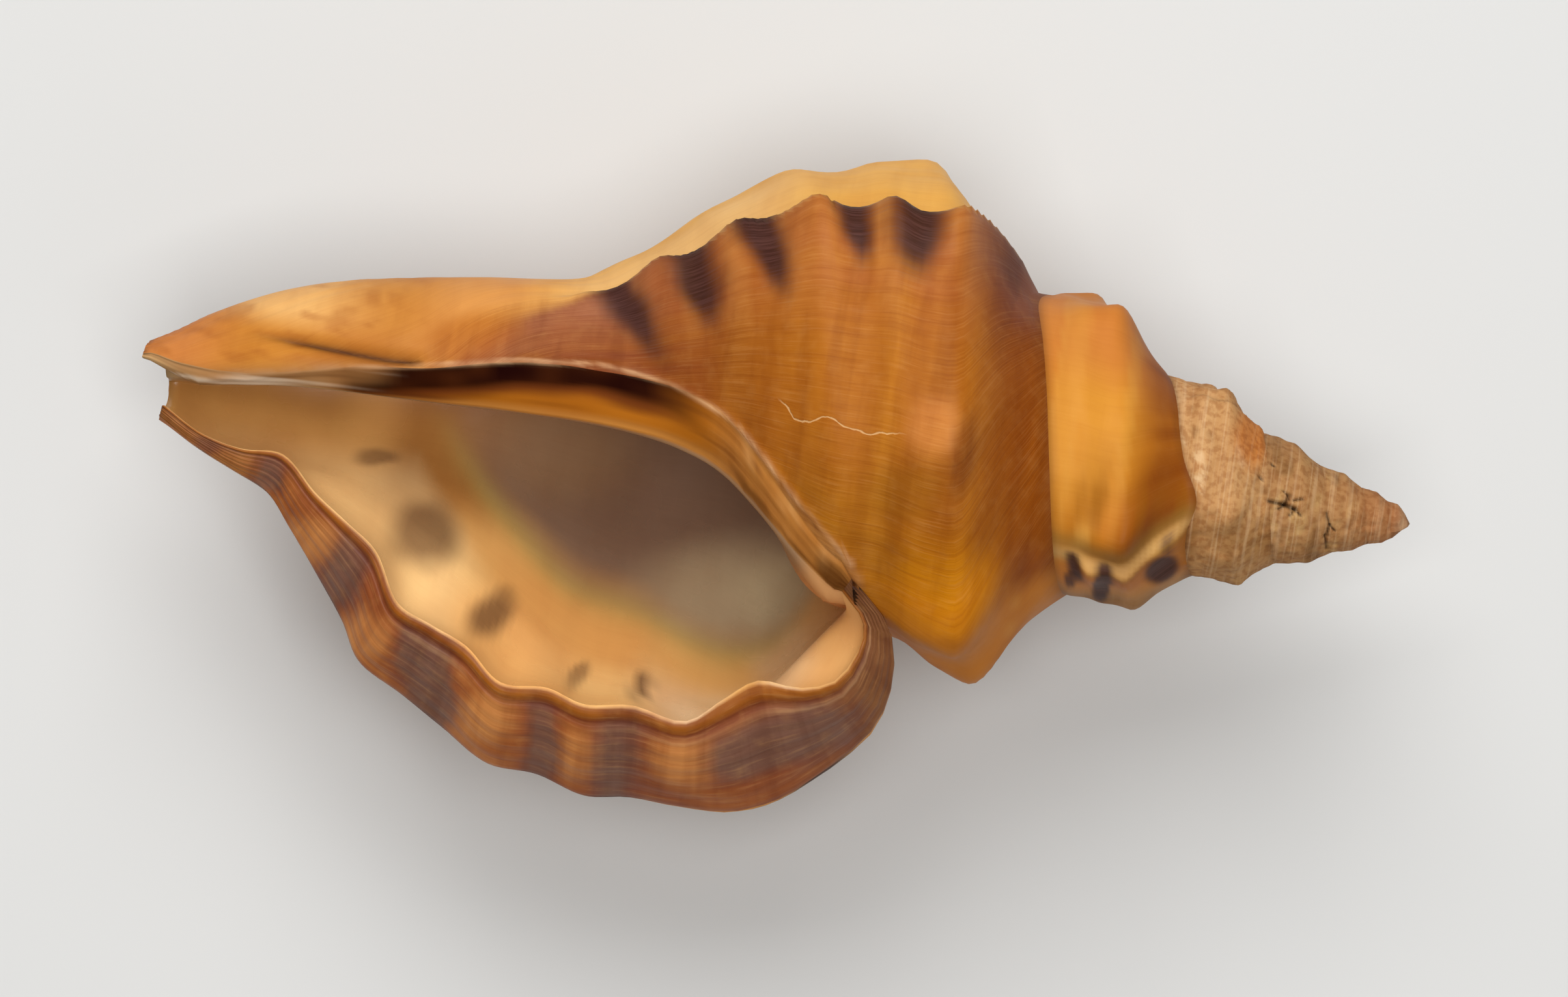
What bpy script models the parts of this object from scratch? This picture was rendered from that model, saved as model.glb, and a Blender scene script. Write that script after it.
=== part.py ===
"""A tiger triton seashell, Cymatium tigrinum, lying on its back with the aperture up.

The shell is one piece that grew as a spiral, so it is one solid. X runs along the shell's own axis,
from the siphonal canal at -X to the apex at +X. Z is up, out of the aperture, and the shell rests on
a small flat at z = 0. Sizes in the tables below are millimetres and angles are degrees.

The outside is a strip that winds round the axis from the apex to the outer lip. An angle of 0 is the
front, above the axis, and it grows through +Y, the back and -Y. Each turn's lower edge is the next
turn's upper suture. The last turn runs on down to the end of the canal. The inside is a hollow of
the same rows, entered from the lip's rim and left at the edge of the inner lip.
"""

import bmesh
import bpy
import numpy as np

MM = 0.001

# Growth of the spiral
WHORL_RATIO = 1.52        # growth in one turn
SPIRAL_APEX_X = 3.0       # the spiral's own apex is this far beyond the worn tip at x = 0
SUTURE_REACH = 40.5       # from the spiral's apex to the suture at angle 0
CORNER_ANGLE = -44.0      # where the outer lip meets the whorl before it
FIRST_ANGLE = -2200.0     # the worn tip
TIP_ROUNDING = 1.7        # length over which the tip rounds off

# Whorl outline: distance from the spiral's apex and radius, both over the suture's own distance
OUTLINE = [
    (0.90, 0.325), (1.00, 0.365), (1.04, 0.395), (1.10, 0.440), (1.17, 0.490), (1.23, 0.515),
    (1.30, 0.525), (1.40, 0.540), (1.52, 0.555), (1.60, 0.530), (1.68, 0.475), (1.76, 0.410),
    (1.84, 0.345), (1.92, 0.285), (2.00, 0.230), (2.10, 0.160), (2.20, 0.090), (2.40, 0.0), (6.0, 0.0),
]
SHOULDER = 1.24           # where the shoulder angle is, in the outline's units
SHOULDER_SWELL = 0.070    # how much wider the shoulder of the last turn is
SWELL_ANGLES = (-420.0, -100.0)

# Siphonal canal: x against radius, and the line that its middle follows, x against y
CANAL_RADIUS = [
    (-131.0, 2.8), (-129.5, 3.5), (-127.0, 4.8), (-124.0, 6.7), (-120.0, 8.6), (-115.0, 10.3),
    (-110.0, 11.2), (-104.0, 11.7), (-96.0, 12.2), (-88.0, 12.0), (-78.0, 10.8), (-60.0, 8.0), (0.0, 3.0),
]
CANAL_END_X = -130.1
CANAL_END_SLANT = 3.0     # how far the end's back is set back from its front
CANAL_END_FRONT = 40.0    # angle at which the end reaches furthest
CANAL_FRONT_FLATTENING = 0.12
CENTRE_LINE = [
    (-131.0, -4.0), (-120.0, -3.0), (-110.0, -2.0), (-95.0, -0.6), (-80.0, 0.4), (-65.0, 1.1),
    (-50.0, 1.4), (-35.0, 1.0), (-22.0, 0.3), (-10.0, -0.25), (0.0, 0.0),
]
SMOOTH_JOIN = 1.3         # how softly the body runs into the canal
JOIN_TURN, JOINED_FROM = 30.0, (1.45, 1.7) # degrees and distances over which the canal starts

# Growth lines lean away from the axis: distance in the outline's units against lean
GROWTH_LEAN = [
    (0.90, 42.0), (0.965, 38.0), (1.067, 19.0), (1.12, 10.0), (1.17, 1.0), (1.22, -6.5), (1.30, -8.0),
    (1.40, -6.0), (1.55, -5.2), (1.68, -3.2), (1.80, -1.0), (2.00, -0.5), (2.14, -3.0), (2.28, -12.0),
    (2.38, -23.0), (2.46, -34.0), (2.70, -55.0), (6.0, -60.0),
]
EARLY_UPRIGHT, UPRIGHT_ANGLES = 0.55, (200.0, 330.0) # earlier turns lean that much less
VARICES = [(62.0, 1.0), (-188.0, 1.0), (-401.0, 1.0), (-660.0, 0.7)] # crest's angle, strength
VARIX_HEIGHT = 0.068
VARIX_RISE, VARIX_FALL = 26.0, 5.5 # degrees before and after its crest
VARIX_START, VARIX_FADE = (0.93, 1.03), (1.95, 2.4)
VARIX_FADED = 0.75        # how much of it has faded on the canal
VARIX_PLAIN, VARIX_CORDED = 0.72, 0.42 # its height between the cords, and what a cord adds
SUTURE_CLIMB = 2.2        # how far a varix lifts the suture beside it
CLIMB_AFTER, CLIMB_WIDTH = 34.0, 17.0 # degrees past the crest, and half width
KNOBS = [
    (250.0, 0.5), (208.0, 1.0), (163.0, 1.0), (101.0, 0.45), (0.0, 0.4), (-57.0, 1.0), (-98.0, 1.0),
    (-145.0, 0.8), (-245.0, 0.9), (-295.0, 1.0), (-345.0, 0.25), (-391.0, 1.1), (-451.0, 0.5), (-500.0, 0.8),
    (-545.0, 0.8), (-605.0, 0.9), (-652.0, 0.9), (-735.0, 0.6), (-770.0, 0.5), (-812.0, 0.6),
]
EARLY_KNOB_STEP = 45.0
EARLY_KNOB = 0.4          # how strong the knobs of the early turns are
WORN_ANGLES = (-1100.0, -700.0) # turns before these are worn smooth
WORN_SHARE = 0.5          # how far they are worn towards a plain cone
WORN_CONE = 0.375         # radius of the worn cone, over the reach
KNOB_HEIGHT = 0.055
KNOB_HALF_ANGLE = 11.0
KNOB_SWEEP = 42.0         # degrees that a knob leans over on the ramp above it
KNOB_SWEPT = (0.9, 1.28)
KNOB_ABOVE, KNOB_BELOW = 0.085, 0.13 # how far a knob reaches over and under the shoulder
RIB_SHARE = 0.35          # height of the rib below a knob, over the knob's
RIB_START, RIB_FADE = (1.04, 1.2), (1.5, 1.95)
CORDS = [1.22, 1.385, 1.56, 1.735, 1.90, 2.07]
CORD_HEIGHT = 0.010
CORD_WIDTH = 0.045
CORDS_START, CORDS_FADE = (1.0, 1.1), (1.9, 2.3)
COVERED_FROM = (1.34, 1.50) # a turn is smooth where the next one covers it
COVER_TURN = 50.0         # degrees before the corner over which the cover ends

# Lip: rim (x, y, z) and outer edge (x, y, z) at matching stations, from the corner to the canal's end
LIP_STATIONS = [
    ((-56.2, -15.3, 12.6), (-55.4, -13.7, 15.5)),
    ((-53.7, -18.0, 12.2), (-50.6, -18.8, 12.0)),
    ((-53.7, -20.8, 11.9), (-49.8, -23.8, 8.6)),
    ((-55.4, -24.2, 11.4), (-50.9, -28.6, 6.0)),
    ((-59.0, -25.6, 10.3), (-54.8, -33.2, 3.6)),
    ((-63.5, -25.6, 9.6), (-59.6, -37.3, 1.8)),
    ((-66.6, -28.0, 8.8), (-64.0, -39.2, 1.0)),
    ((-70.0, -30.7, 8.1), (-69.5, -39.5, 0.6)),
    ((-75.6, -29.9, 8.0), (-74.8, -39.3, 0.4)),
    ((-80.3, -30.5, 7.4), (-79.2, -39.8, 0.2)),
    ((-84.4, -29.4, 7.2), (-84.2, -38.4, 0.2)),
    ((-89.0, -29.6, 6.6), (-89.2, -38.1, 0.2)),
    ((-93.2, -26.4, 6.6), (-94.6, -35.0, 0.3)),
    ((-97.0, -24.8, 6.4), (-99.0, -32.4, 0.4)),
    ((-100.6, -23.2, 6.0), (-103.6, -29.9, 0.6)),
    ((-103.6, -18.3, 6.0), (-106.2, -25.7, 0.9)),
    ((-107.0, -15.8, 5.7), (-109.6, -21.2, 1.4)),
    ((-110.6, -13.3, 5.4), (-112.8, -17.3, 2.0)),
    ((-114.6, -9.9, 5.2), (-115.8, -13.9, 2.6)),
    ((-118.6, -10.0, 4.6), (-119.3, -12.3, 3.0)),
    ((-122.6, -9.2, 3.9), (-123.0, -10.6, 3.0)),
    ((-127.2, -6.8, 2.7), (-127.6, -8.0, 1.6)),
]
LIP_ANGLES = [
    (0.0, 316.0), (0.35, 293.0), (0.7, 284.0), (1.3, 283.0), (1.6, 286.0), (1.8, 289.0), (2.0, 292.0),
]
LIP_REACH_BACK = 34.0     # degrees of the outside that the lip's flare takes up
LIP_REACH_IN = 30.0       # degrees of the inside that the rim's flare takes up

# Inner lip: angle of its raised edge against x, and its rounded crest (x, y, z)
INNER_EDGE = [
    (-129.6, 42.0), (-127.0, 20.0), (-124.0, 9.0), (-120.0, 5.0), (-115.0, 6.0), (-108.0, 10.0),
    (-100.0, 11.0), (-95.0, 15.0), (-90.0, 17.0), (-85.0, 16.5), (-80.0, 14.0), (-75.0, 8.0),
    (-70.0, -2.0), (-67.0, -12.0), (-64.0, -22.0), (-60.0, -33.0), (-55.8, -40.0),
]
CREST = [
    (-129.6, -2.4, 1.8), (-127.0, -3.3, 3.1), (-125.0, -3.8, 4.3), (-120.0, -3.3, 6.2),
    (-115.0, -2.9, 7.4), (-110.0, -2.7, 8.0), (-100.0, -2.4, 8.6), (-90.0, -2.1, 9.4),
    (-85.0, -2.1, 9.8), (-80.0, -2.3, 10.2), (-75.0, -3.0, 11.2), (-70.0, -4.9, 12.0),
    (-66.5, -7.8, 12.2), (-63.0, -11.2, 12.0), (-60.0, -14.3, 11.0), (-57.0, -17.0, 9.6),
    (-55.0, -18.6, 8.6),
]
WALL = 2.1                # wall thickness
CANAL_END_WALL = 1.2
PILLAR_RADIUS = [(-131.0, 1.8), (-120.0, 1.8), (-110.0, 2.0), (-95.0, 2.5), (-80.0, 3.0), (0.0, 3.0)]
DEEP_ANGLES = [(0.0, 105.0), (1.0, 105.0), (1.5, 140.0), (1.8, 180.0), (2.0, 190.0)]
REST_DEPTH = 30.0         # from the axis down to the flat that the shell rests on
FRAME_SHIFT = (65.05, 5.185) # moves the middle of the shell to x = 0, y = 0

# Faces
TURN_STEPS = 55           # faces in one turn, an odd number
RAMP_ROWS = 7             # rows from suture to suture
BASE_ROWS = 17            # rows from there to the canal's end
BAND_STEPS = 3            # faces across the lip's band
BAND_BULGE = 0.10         # how far the lip's faces bulge, over their width
CREST_STEPS = 6           # faces across the inner lip
CREST_FADE = 16.0         # degrees over which the crest runs into the pillar
UNDERCUT = 0.9            # how far the wall below the crest is set back from it
UNDERCUT_TURN = 45.0      # degrees over which it is set back
UNDERCUT_SOFT = 0.3       # how softly the set-back wall runs into its natural shape
MEET_ROWS = 1.2           # row by which the inner side has left the suture


def curve(at, points, column=1):
    """A smooth curve through the points, read at the values given."""
    table = np.array(points, float)
    table = table[np.argsort(table[:, 0])]
    xs, ys = table[:, 0], table[:, column]
    at = np.clip(at, xs[0], xs[-1])
    slopes = np.gradient(ys, xs)
    place = np.clip(np.searchsorted(xs, at) - 1, 0, len(xs) - 2)
    span = xs[place + 1] - xs[place]
    u = (at - xs[place]) / span
    return (
        ys[place] * (2 * u**3 - 3 * u**2 + 1)
        + ys[place + 1] * (3 * u**2 - 2 * u**3)
        + span * slopes[place] * (u**3 - 2 * u**2 + u)
        + span * slopes[place + 1] * (u**3 - u**2)
    )


def ease(value, start, end):
    """0 before start, 1 after end and smooth between them."""
    u = np.clip((value - start) / (end - start), 0, 1)
    return u * u * (3 - 2 * u)


def bell(value, width):
    return np.exp(-((value / width) ** 2))


def smooth_max(a, b, soft):
    return (a + b + np.sqrt((a - b) ** 2 + 4 * soft**2)) / 2


def plain_reach(angle):
    """Distance from the spiral's apex to the suture, without its waves."""
    return SUTURE_REACH * WHORL_RATIO ** (angle / 360)


def suture_reach(angle):
    """Distance from the spiral's apex to the suture, which climbs beside each varix."""
    reach = plain_reach(angle)
    for varix, _ in VARICES:
        climb = SUTURE_CLIMB * plain_reach(varix) / SUTURE_REACH
        reach = reach - climb * bell(angle - varix - CLIMB_AFTER, CLIMB_WIDTH)
    return reach


def varix_profile(turned):
    """A varix across its crest: a long rise and a short steep fall."""
    rise = ease(turned, -VARIX_RISE, 0) ** 1.6
    fall = 1 - ease(turned, 0, VARIX_FALL)
    return np.where(turned < 0, rise, fall)


def knob_angles():
    early = np.arange(KNOBS[-1][0] - EARLY_KNOB_STEP, FIRST_ANGLE, -EARLY_KNOB_STEP)
    return KNOBS + [(float(angle), EARLY_KNOB) for angle in early]


def grown_angle(angle, out):
    """The angle that the growth line through a place has at the shoulder, less its lean there."""
    return angle - curve(out, GROWTH_LEAN) * (1 - EARLY_UPRIGHT * ease(-angle, *UPRIGHT_ANGLES))


def relief(angle, out):
    """How far knobs, ribs, cords and varices stand out, in the outline's units."""
    grown = grown_angle(angle, out)
    swept = angle - KNOB_SWEEP * (1 - ease(out, *KNOB_SWEPT))
    height = 0.0
    peak = np.where(out < SHOULDER, bell(out - SHOULDER, KNOB_ABOVE), bell(out - SHOULDER, KNOB_BELOW))
    rib = RIB_SHARE * ease(out, *RIB_START) * (1 - ease(out, *RIB_FADE))
    for knob, strength in knob_angles():
        height = height + strength * KNOB_HEIGHT * bell(swept - knob, KNOB_HALF_ANGLE) * (peak + rib)
    cords = sum(bell(out - cord, CORD_WIDTH) for cord in CORDS)
    swell = 0.0
    for varix, strength in VARICES:
        swell = swell + strength * varix_profile(grown - varix)
    along = ease(out, *VARIX_START) * (1 - VARIX_FADED * ease(out, *VARIX_FADE))
    height = height + VARIX_HEIGHT * swell * along * (VARIX_PLAIN + VARIX_CORDED * cords)
    height = height + CORD_HEIGHT * cords * ease(out, *CORDS_START) * (1 - ease(out, *CORDS_FADE))
    covered = ease(out, *COVERED_FROM) * (1 - ease(angle, CORNER_ANGLE - COVER_TURN, CORNER_ANGLE))
    return height * (1 - covered)


def outline(angle, reach, relieved=True, pillar=False):
    """Radius at this angle and distance from the spiral's apex."""
    own = plain_reach(angle)
    out = reach / own
    radius = curve(out, OUTLINE)
    whorl = np.clip((out - 1) / (WHORL_RATIO - 1), 0, 1)
    swell = np.sin(np.pi * whorl) ** 2
    radius = radius + SHOULDER_SWELL * ease(angle, *SWELL_ANGLES) * swell
    if relieved:
        radius = radius + relief(angle, out)
    worn = WORN_SHARE * (1 - ease(angle, *WORN_ANGLES)) * (out < WHORL_RATIO)
    radius = radius + worn * (WORN_CONE * out - radius)
    radius = radius * own
    x = SPIRAL_APEX_X - reach
    turned = np.radians(angle)
    if pillar:
        canal = curve(x, PILLAR_RADIUS)
    else:
        canal = curve(x, CANAL_RADIUS) * (1 - CANAL_FRONT_FLATTENING * (1 + np.cos(turned)) / 2)
    below = ease(angle, CORNER_ANGLE - JOIN_TURN, CORNER_ANGLE) * ease(out, *JOINED_FROM)
    joined = smooth_max(radius, canal, SMOOTH_JOIN)
    return radius + (joined - radius) * np.maximum(below, float(pillar))


def place(angle, reach, radius):
    """The point at an angle, a distance from the spiral's apex and a radius."""
    x = SPIRAL_APEX_X - reach
    turned = np.radians(angle)
    return np.stack([x, curve(x, CENTRE_LINE) + radius * np.sin(turned), radius * np.cos(turned)], axis=-1)


def canal_end(angle):
    set_back = CANAL_END_SLANT * (1 - np.cos(np.radians(angle - CANAL_END_FRONT))) / 2
    return SPIRAL_APEX_X - (CANAL_END_X + set_back)


def reach_of(angle, down):
    """Distance from the spiral's apex of a row: 0 at the suture, 1 a whorl on, 2 at the canal's end."""
    first, second = suture_reach(angle), suture_reach(angle + 360)
    upper = first + (second - first) * np.clip(down, 0, 1)
    lower = np.clip(down - 1, 0, 1)
    return upper + (canal_end(angle) - second) * lower


def thickness(down):
    return WALL + (CANAL_END_WALL - WALL) * ease(down, 1.6, 2.0)


def inner_wall(angle, down):
    """The inside of the outer wall: the plain outline, moved in by the wall's thickness."""
    step = 0.01
    here, there = reach_of(angle, down), reach_of(angle, down + step)
    radius = outline(angle, here, relieved=False)
    slope = (outline(angle, there, relieved=False) - radius) / np.maximum(there - here, 1e-6)
    length = np.sqrt(1 + slope**2)
    wall = thickness(down)
    reach = here + wall * slope / length
    return place(angle, reach, radius - wall / length)


def lip_curves(down, lip_angle):
    """Rim and outer edge of the lip at each row, spread along the lip by its length."""
    own = place(lip_angle, reach_of(lip_angle, down), outline(lip_angle, reach_of(lip_angle, down)))
    run = np.concatenate([[0], np.cumsum(np.linalg.norm(np.diff(own, axis=0), axis=1))])
    rim, edge = (np.array([pair[k] for pair in LIP_STATIONS]) for k in (0, 1))
    middle = (rim + edge) / 2
    stations = np.concatenate([[0], np.cumsum(np.linalg.norm(np.diff(middle, axis=0), axis=1))])
    share, marks = run / run[-1], stations / stations[-1]
    rim = np.stack([curve(share, np.column_stack([marks, rim[:, k]])) for k in range(3)], axis=-1)
    edge = np.stack([curve(share, np.column_stack([marks, edge[:, k]])) for k in range(3)], axis=-1)
    return rim, edge


def rows_down():
    return np.concatenate([np.linspace(0, 1, RAMP_ROWS + 1), 1 + np.linspace(0, 1, BASE_ROWS + 1)[1:]])


def tip(reach):
    """Rounds off the worn tip."""
    u = np.clip((reach - SPIRAL_APEX_X) / TIP_ROUNDING, 0, 1)
    return np.sqrt(1 - (1 - u) ** 2)


def spire():
    """Points of the strip before its last turn, (column, row)."""
    step = 360.0 / TURN_STEPS
    count = int(round((CORNER_ANGLE - FIRST_ANGLE) / step))
    angle = CORNER_ANGLE - step * np.arange(count, 0, -1)[:, None]
    down = np.linspace(0, 1, RAMP_ROWS + 1)
    reach = np.maximum(reach_of(angle, down), SPIRAL_APEX_X + 0.05)
    return place(angle, reach, outline(angle, reach) * tip(reach))


def last_turn(down):
    """Angles and points of the last turn's outside, (column, row), from the inner to the outer lip."""
    lip_angle = curve(down, LIP_ANGLES)
    first = np.full_like(down, CORNER_ANGLE)
    for _ in range(6):
        x = SPIRAL_APEX_X - reach_of(first, down)
        first = np.where(down > 1, curve(x, INNER_EDGE), CORNER_ANGLE)
    share = np.linspace(0, 1, TURN_STEPS + 1)[:, None] ** (1 - 0.2 * ease(down, 1.0, 2.0))
    angle = first + (lip_angle - first) * share
    reach = reach_of(angle, down)
    points = place(angle, reach, outline(angle, reach))
    rim, edge = lip_curves(down, lip_angle)
    pull = ease(angle, lip_angle - LIP_REACH_BACK, lip_angle)[..., None] ** 1.5
    return angle, points + pull * (edge - points[-1]), rim, edge


def outer_side(down, lip_angle, rim, edge):
    """From the lip's outer edge over its band to the rim, then in along the outer wall, (column, row)."""
    share = np.linspace(0, 1, BAND_STEPS + 1)[:, None, None]
    bulge = BAND_BULGE * np.linalg.norm(rim - edge, axis=1)[:, None] * np.array([0, -0.3, 1.0])
    band = edge + (rim - edge) * share + bulge * np.sin(np.pi * share)
    share = np.linspace(0, 1, (TURN_STEPS + 1) // 2 - BAND_STEPS)[1:, None] ** 1.2
    angle = lip_angle + (curve(down, DEEP_ANGLES) - lip_angle) * share
    pull = 1 - ease(lip_angle - angle, 0, LIP_REACH_IN)
    start = inner_wall(lip_angle, down)
    wall = inner_wall(angle, down) + pull[..., None] * (rim - start)
    return np.concatenate([band, wall])


def inner_side(down, first):
    """From the inner lip's edge over its crest, then in along the pillar, (column, row)."""
    crest_x = first[:, 0]
    for _ in range(4):
        crest = np.stack([crest_x, curve(crest_x, CREST, 1), curve(crest_x, CREST, 2)], axis=-1)
        from_middle = crest[:, 1] - curve(crest_x, CENTRE_LINE)
        crest_angle = np.degrees(np.arctan2(from_middle, crest[:, 2]))
        crest_x = SPIRAL_APEX_X - reach_of(crest_angle, down)
    crest_radius = np.hypot(from_middle, crest[:, 2])
    over = np.linspace(0, 1, CREST_STEPS + 1)[:, None, None]
    bulge = BAND_BULGE * np.linalg.norm(crest - first, axis=1)[:, None] * np.array([0, -0.3, 1.0])
    face = first + (crest - first) * over + bulge * np.sin(np.pi * over)
    past = np.linspace(0, 1, (TURN_STEPS + 1) // 2 - CREST_STEPS)[1:, None]
    angle = crest_angle + (curve(down, DEEP_ANGLES) - 360 - crest_angle) * past
    reach = reach_of(angle, down)
    radius = outline(angle, reach, relieved=False, pillar=True)
    start = outline(crest_angle, SPIRAL_APEX_X - crest[:, 0], relieved=False, pillar=True)
    radius = radius + (crest_radius - start) * np.exp((angle - crest_angle) / CREST_FADE)
    back = place(angle, reach, radius)
    straight = ease(down, 1.5, 1.9)[:, None]
    back = back + straight * (crest + (back[-1] - crest) * past[..., None] - back)
    shelf = curve(back[..., 0], CREST, 1) + UNDERCUT * ease(crest_angle - angle, 0, UNDERCUT_TURN)
    over_crest = ease(crest_angle - angle, 0, UNDERCUT_TURN / 3) * ease(angle, -160, -110)
    back[..., 1] += over_crest * (smooth_max(back[..., 1], shelf, UNDERCUT_SOFT) - back[..., 1])
    return np.concatenate([face, back])


class Mesh:
    """Points and faces gathered block by block."""

    def __init__(self):
        self.points = []
        self.faces = []

    def add(self, block):
        start = len(self.points)
        self.points += block.reshape(-1, 3).tolist()
        return np.arange(start, len(self.points)).reshape(block.shape[:-1])

    def face(self, *corners):
        kept = [int(corner) for k, corner in enumerate(corners) if corner != corners[k - 1]]
        if len(kept) > 2:
            self.faces.append(kept)

    def strip(self, a, b):
        for k in range(len(a) - 1):
            self.face(a[k], b[k], b[k + 1], a[k + 1])


def shell_mesh():
    mesh = Mesh()
    down = rows_down()
    angle, points, rim, edge = last_turn(down)
    early = mesh.add(spire())
    last = mesh.add(points)
    columns = [list(column) for column in early] + [list(column) for column in last]
    turn = TURN_STEPS
    for k in range(turn, len(columns)):
        columns[k][0] = columns[k - turn][RAMP_ROWS]
    for k in range(len(columns) - 1):
        rows = RAMP_ROWS + 1 if k < len(early) else len(down)
        mesh.strip(columns[k][:rows], columns[k + 1][:rows])

    apex = mesh.add(np.array([[0.0, 0.0, 0.0]]))[0]
    for k in range(turn):
        mesh.face(apex, columns[k + 1][0], columns[k][0])
    for row in range(RAMP_ROWS):
        mesh.face(apex, columns[0][row], columns[0][row + 1])

    outer = outer_side(down, angle[-1], rim, edge)
    inner = inner_side(down[RAMP_ROWS:], points[0, RAMP_ROWS:])
    meet = (1 - ease(down[RAMP_ROWS:], 1.0, MEET_ROWS))[:, None]
    inner = inner + meet * (outer[:, :1] - inner[:, :1])
    outer_ids = mesh.add(outer)
    inner_ids = mesh.add(inner)
    outer_ids[0] = columns[-1]
    inner_ids[0] = columns[len(early)][RAMP_ROWS:]
    inner_ids[:, 0] = outer_ids[:, 0]
    for k in range(len(outer_ids) - 1):
        mesh.strip(outer_ids[k], outer_ids[k + 1])
        mesh.strip(inner_ids[k + 1], inner_ids[k])
    deep_outer = outer_ids[-1]
    deep_inner = [deep_outer[0]] * RAMP_ROWS + list(inner_ids[-1])
    mesh.strip(deep_outer, deep_inner)
    outside_end = [column[-1] for column in columns[len(early):]]
    inside_end = [column[-1] for column in inner_ids] + [column[-1] for column in outer_ids[::-1]]
    mesh.strip(outside_end, inside_end)
    return np.array(mesh.points), mesh.faces


def make_shell():
    points, faces = shell_mesh()
    used = sorted({corner for face in faces for corner in face})
    number = {old: new for new, old in enumerate(used)}
    points = (points[used] + np.array([*FRAME_SHIFT, REST_DEPTH])) * MM
    faces = [[number[corner] for corner in face] for face in faces]
    mesh = bpy.data.meshes.new("shell")
    mesh.from_pydata(points.tolist(), [], faces)
    worn = bmesh.new()
    worn.from_mesh(mesh)
    bmesh.ops.triangulate(worn, faces=worn.faces)
    cut = bmesh.ops.bisect_plane(
        worn,
        geom=worn.verts[:] + worn.edges[:] + worn.faces[:],
        dist=1e-6,
        plane_co=(0, 0, 0),
        plane_no=(0, 0, -1),
        clear_outer=True,
    )
    flat_edges = [edge for edge in cut["geom_cut"] if isinstance(edge, bmesh.types.BMEdge)]
    bmesh.ops.holes_fill(worn, edges=flat_edges)
    bmesh.ops.recalc_face_normals(worn, faces=worn.faces)
    if worn.calc_volume(signed=True) < 0:
        bmesh.ops.reverse_faces(worn, faces=worn.faces)
    worn.to_mesh(mesh)
    worn.free()
    shell = bpy.data.objects.new("shell", mesh)
    collection = bpy.data.collections.new("tiger_triton_shell")
    bpy.context.scene.collection.children.link(collection)
    collection.objects.link(shell)
    material = bpy.data.materials.new("shell_surface")
    material.use_nodes = True
    surface = material.node_tree.nodes["Principled BSDF"]
    surface.inputs["Base Color"].default_value = (0.62, 0.33, 0.12, 1.0)
    surface.inputs["Roughness"].default_value = 0.4
    mesh.materials.append(material)
    return shell


for old in list(bpy.data.objects):
    bpy.data.objects.remove(old)
make_shell()
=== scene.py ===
"""The looks of a tiger triton seashell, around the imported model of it.

The shell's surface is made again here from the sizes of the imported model, with finer faces and the
fine relief: growth ripples, cords, cracks, the callus edge and the canal's groove. Sizes in the tables
are millimetres, measured from the apex, and angles are degrees round the axis.
"""

import bmesh
import bpy
import numpy as np
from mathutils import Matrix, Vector


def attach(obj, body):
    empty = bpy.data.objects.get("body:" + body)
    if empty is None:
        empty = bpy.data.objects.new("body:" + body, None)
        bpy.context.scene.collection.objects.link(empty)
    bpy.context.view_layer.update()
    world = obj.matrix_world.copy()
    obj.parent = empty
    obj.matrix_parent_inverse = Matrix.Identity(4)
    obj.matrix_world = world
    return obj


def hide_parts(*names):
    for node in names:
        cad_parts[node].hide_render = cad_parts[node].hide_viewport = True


MM = 0.001

# Growth of the spiral
WHORL_RATIO = 1.52  # growth in one turn
SPIRAL_APEX_X = 3.0  # the spiral's own apex is this far beyond the worn tip at x = 0
SUTURE_REACH = 40.5  # from the spiral's apex to the suture at angle 0
CORNER_ANGLE = -44.0  # where the outer lip meets the whorl before it
FIRST_ANGLE = -2200.0  # the worn tip
TIP_ROUNDING = 1.7  # length over which the tip rounds off

# Whorl outline: distance from the spiral's apex and radius, both over the suture's own distance
OUTLINE = [
    (0.9, 0.325), (1.00, 0.365), (1.04, 0.395), (1.1, 0.44), (1.17, 0.49), (1.23, 0.515),
    (1.3, 0.525), (1.4, 0.54), (1.52, 0.555), (1.6, 0.53), (1.68, 0.475), (1.76, 0.41),
    (1.84, 0.345), (1.92, 0.285), (2.00, 0.23), (2.1, 0.16), (2.2, 0.09), (2.4, 0), (6, 0),
]
SHOULDER = 1.24  # where the shoulder angle is, in the outline's units
SHOULDER_SWELL = 0.07  # how much wider the shoulder of the last turn is
SWELL_ANGLES = (-420.0, -100.0)

# Siphonal canal: x against radius, and the line that its middle follows, x against y
CANAL_RADIUS = [
    (-131, 2.8), (-129.5, 3.5), (-127, 4.8), (-124, 6.7), (-120, 8.6), (-115, 10.3),
    (-110, 11.2), (-104, 11.7), (-96, 12.2), (-88, 12), (-78, 10.8), (-60, 8), (0, 3),
]
CANAL_END_X = -130.1
CANAL_END_SLANT = 3.0  # how far the end's back is set back from its front
CANAL_END_FRONT = 40.0  # angle at which the end reaches furthest
CANAL_FRONT_FLATTENING = 0.12
CENTRE_LINE = [
    (-131, -4), (-120, -3), (-110, -2), (-95, -0.6), (-80, 0.4), (-65, 1.1),
    (-50, 1.4), (-35, 1), (-22, 0.3), (-10, -0.25), (0, 0),
]
SMOOTH_JOIN = 1.3  # how softly the body runs into the canal
JOIN_TURN, JOINED_FROM = 30.0, (1.45, 1.7)  # degrees and distances over which the canal starts

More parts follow.
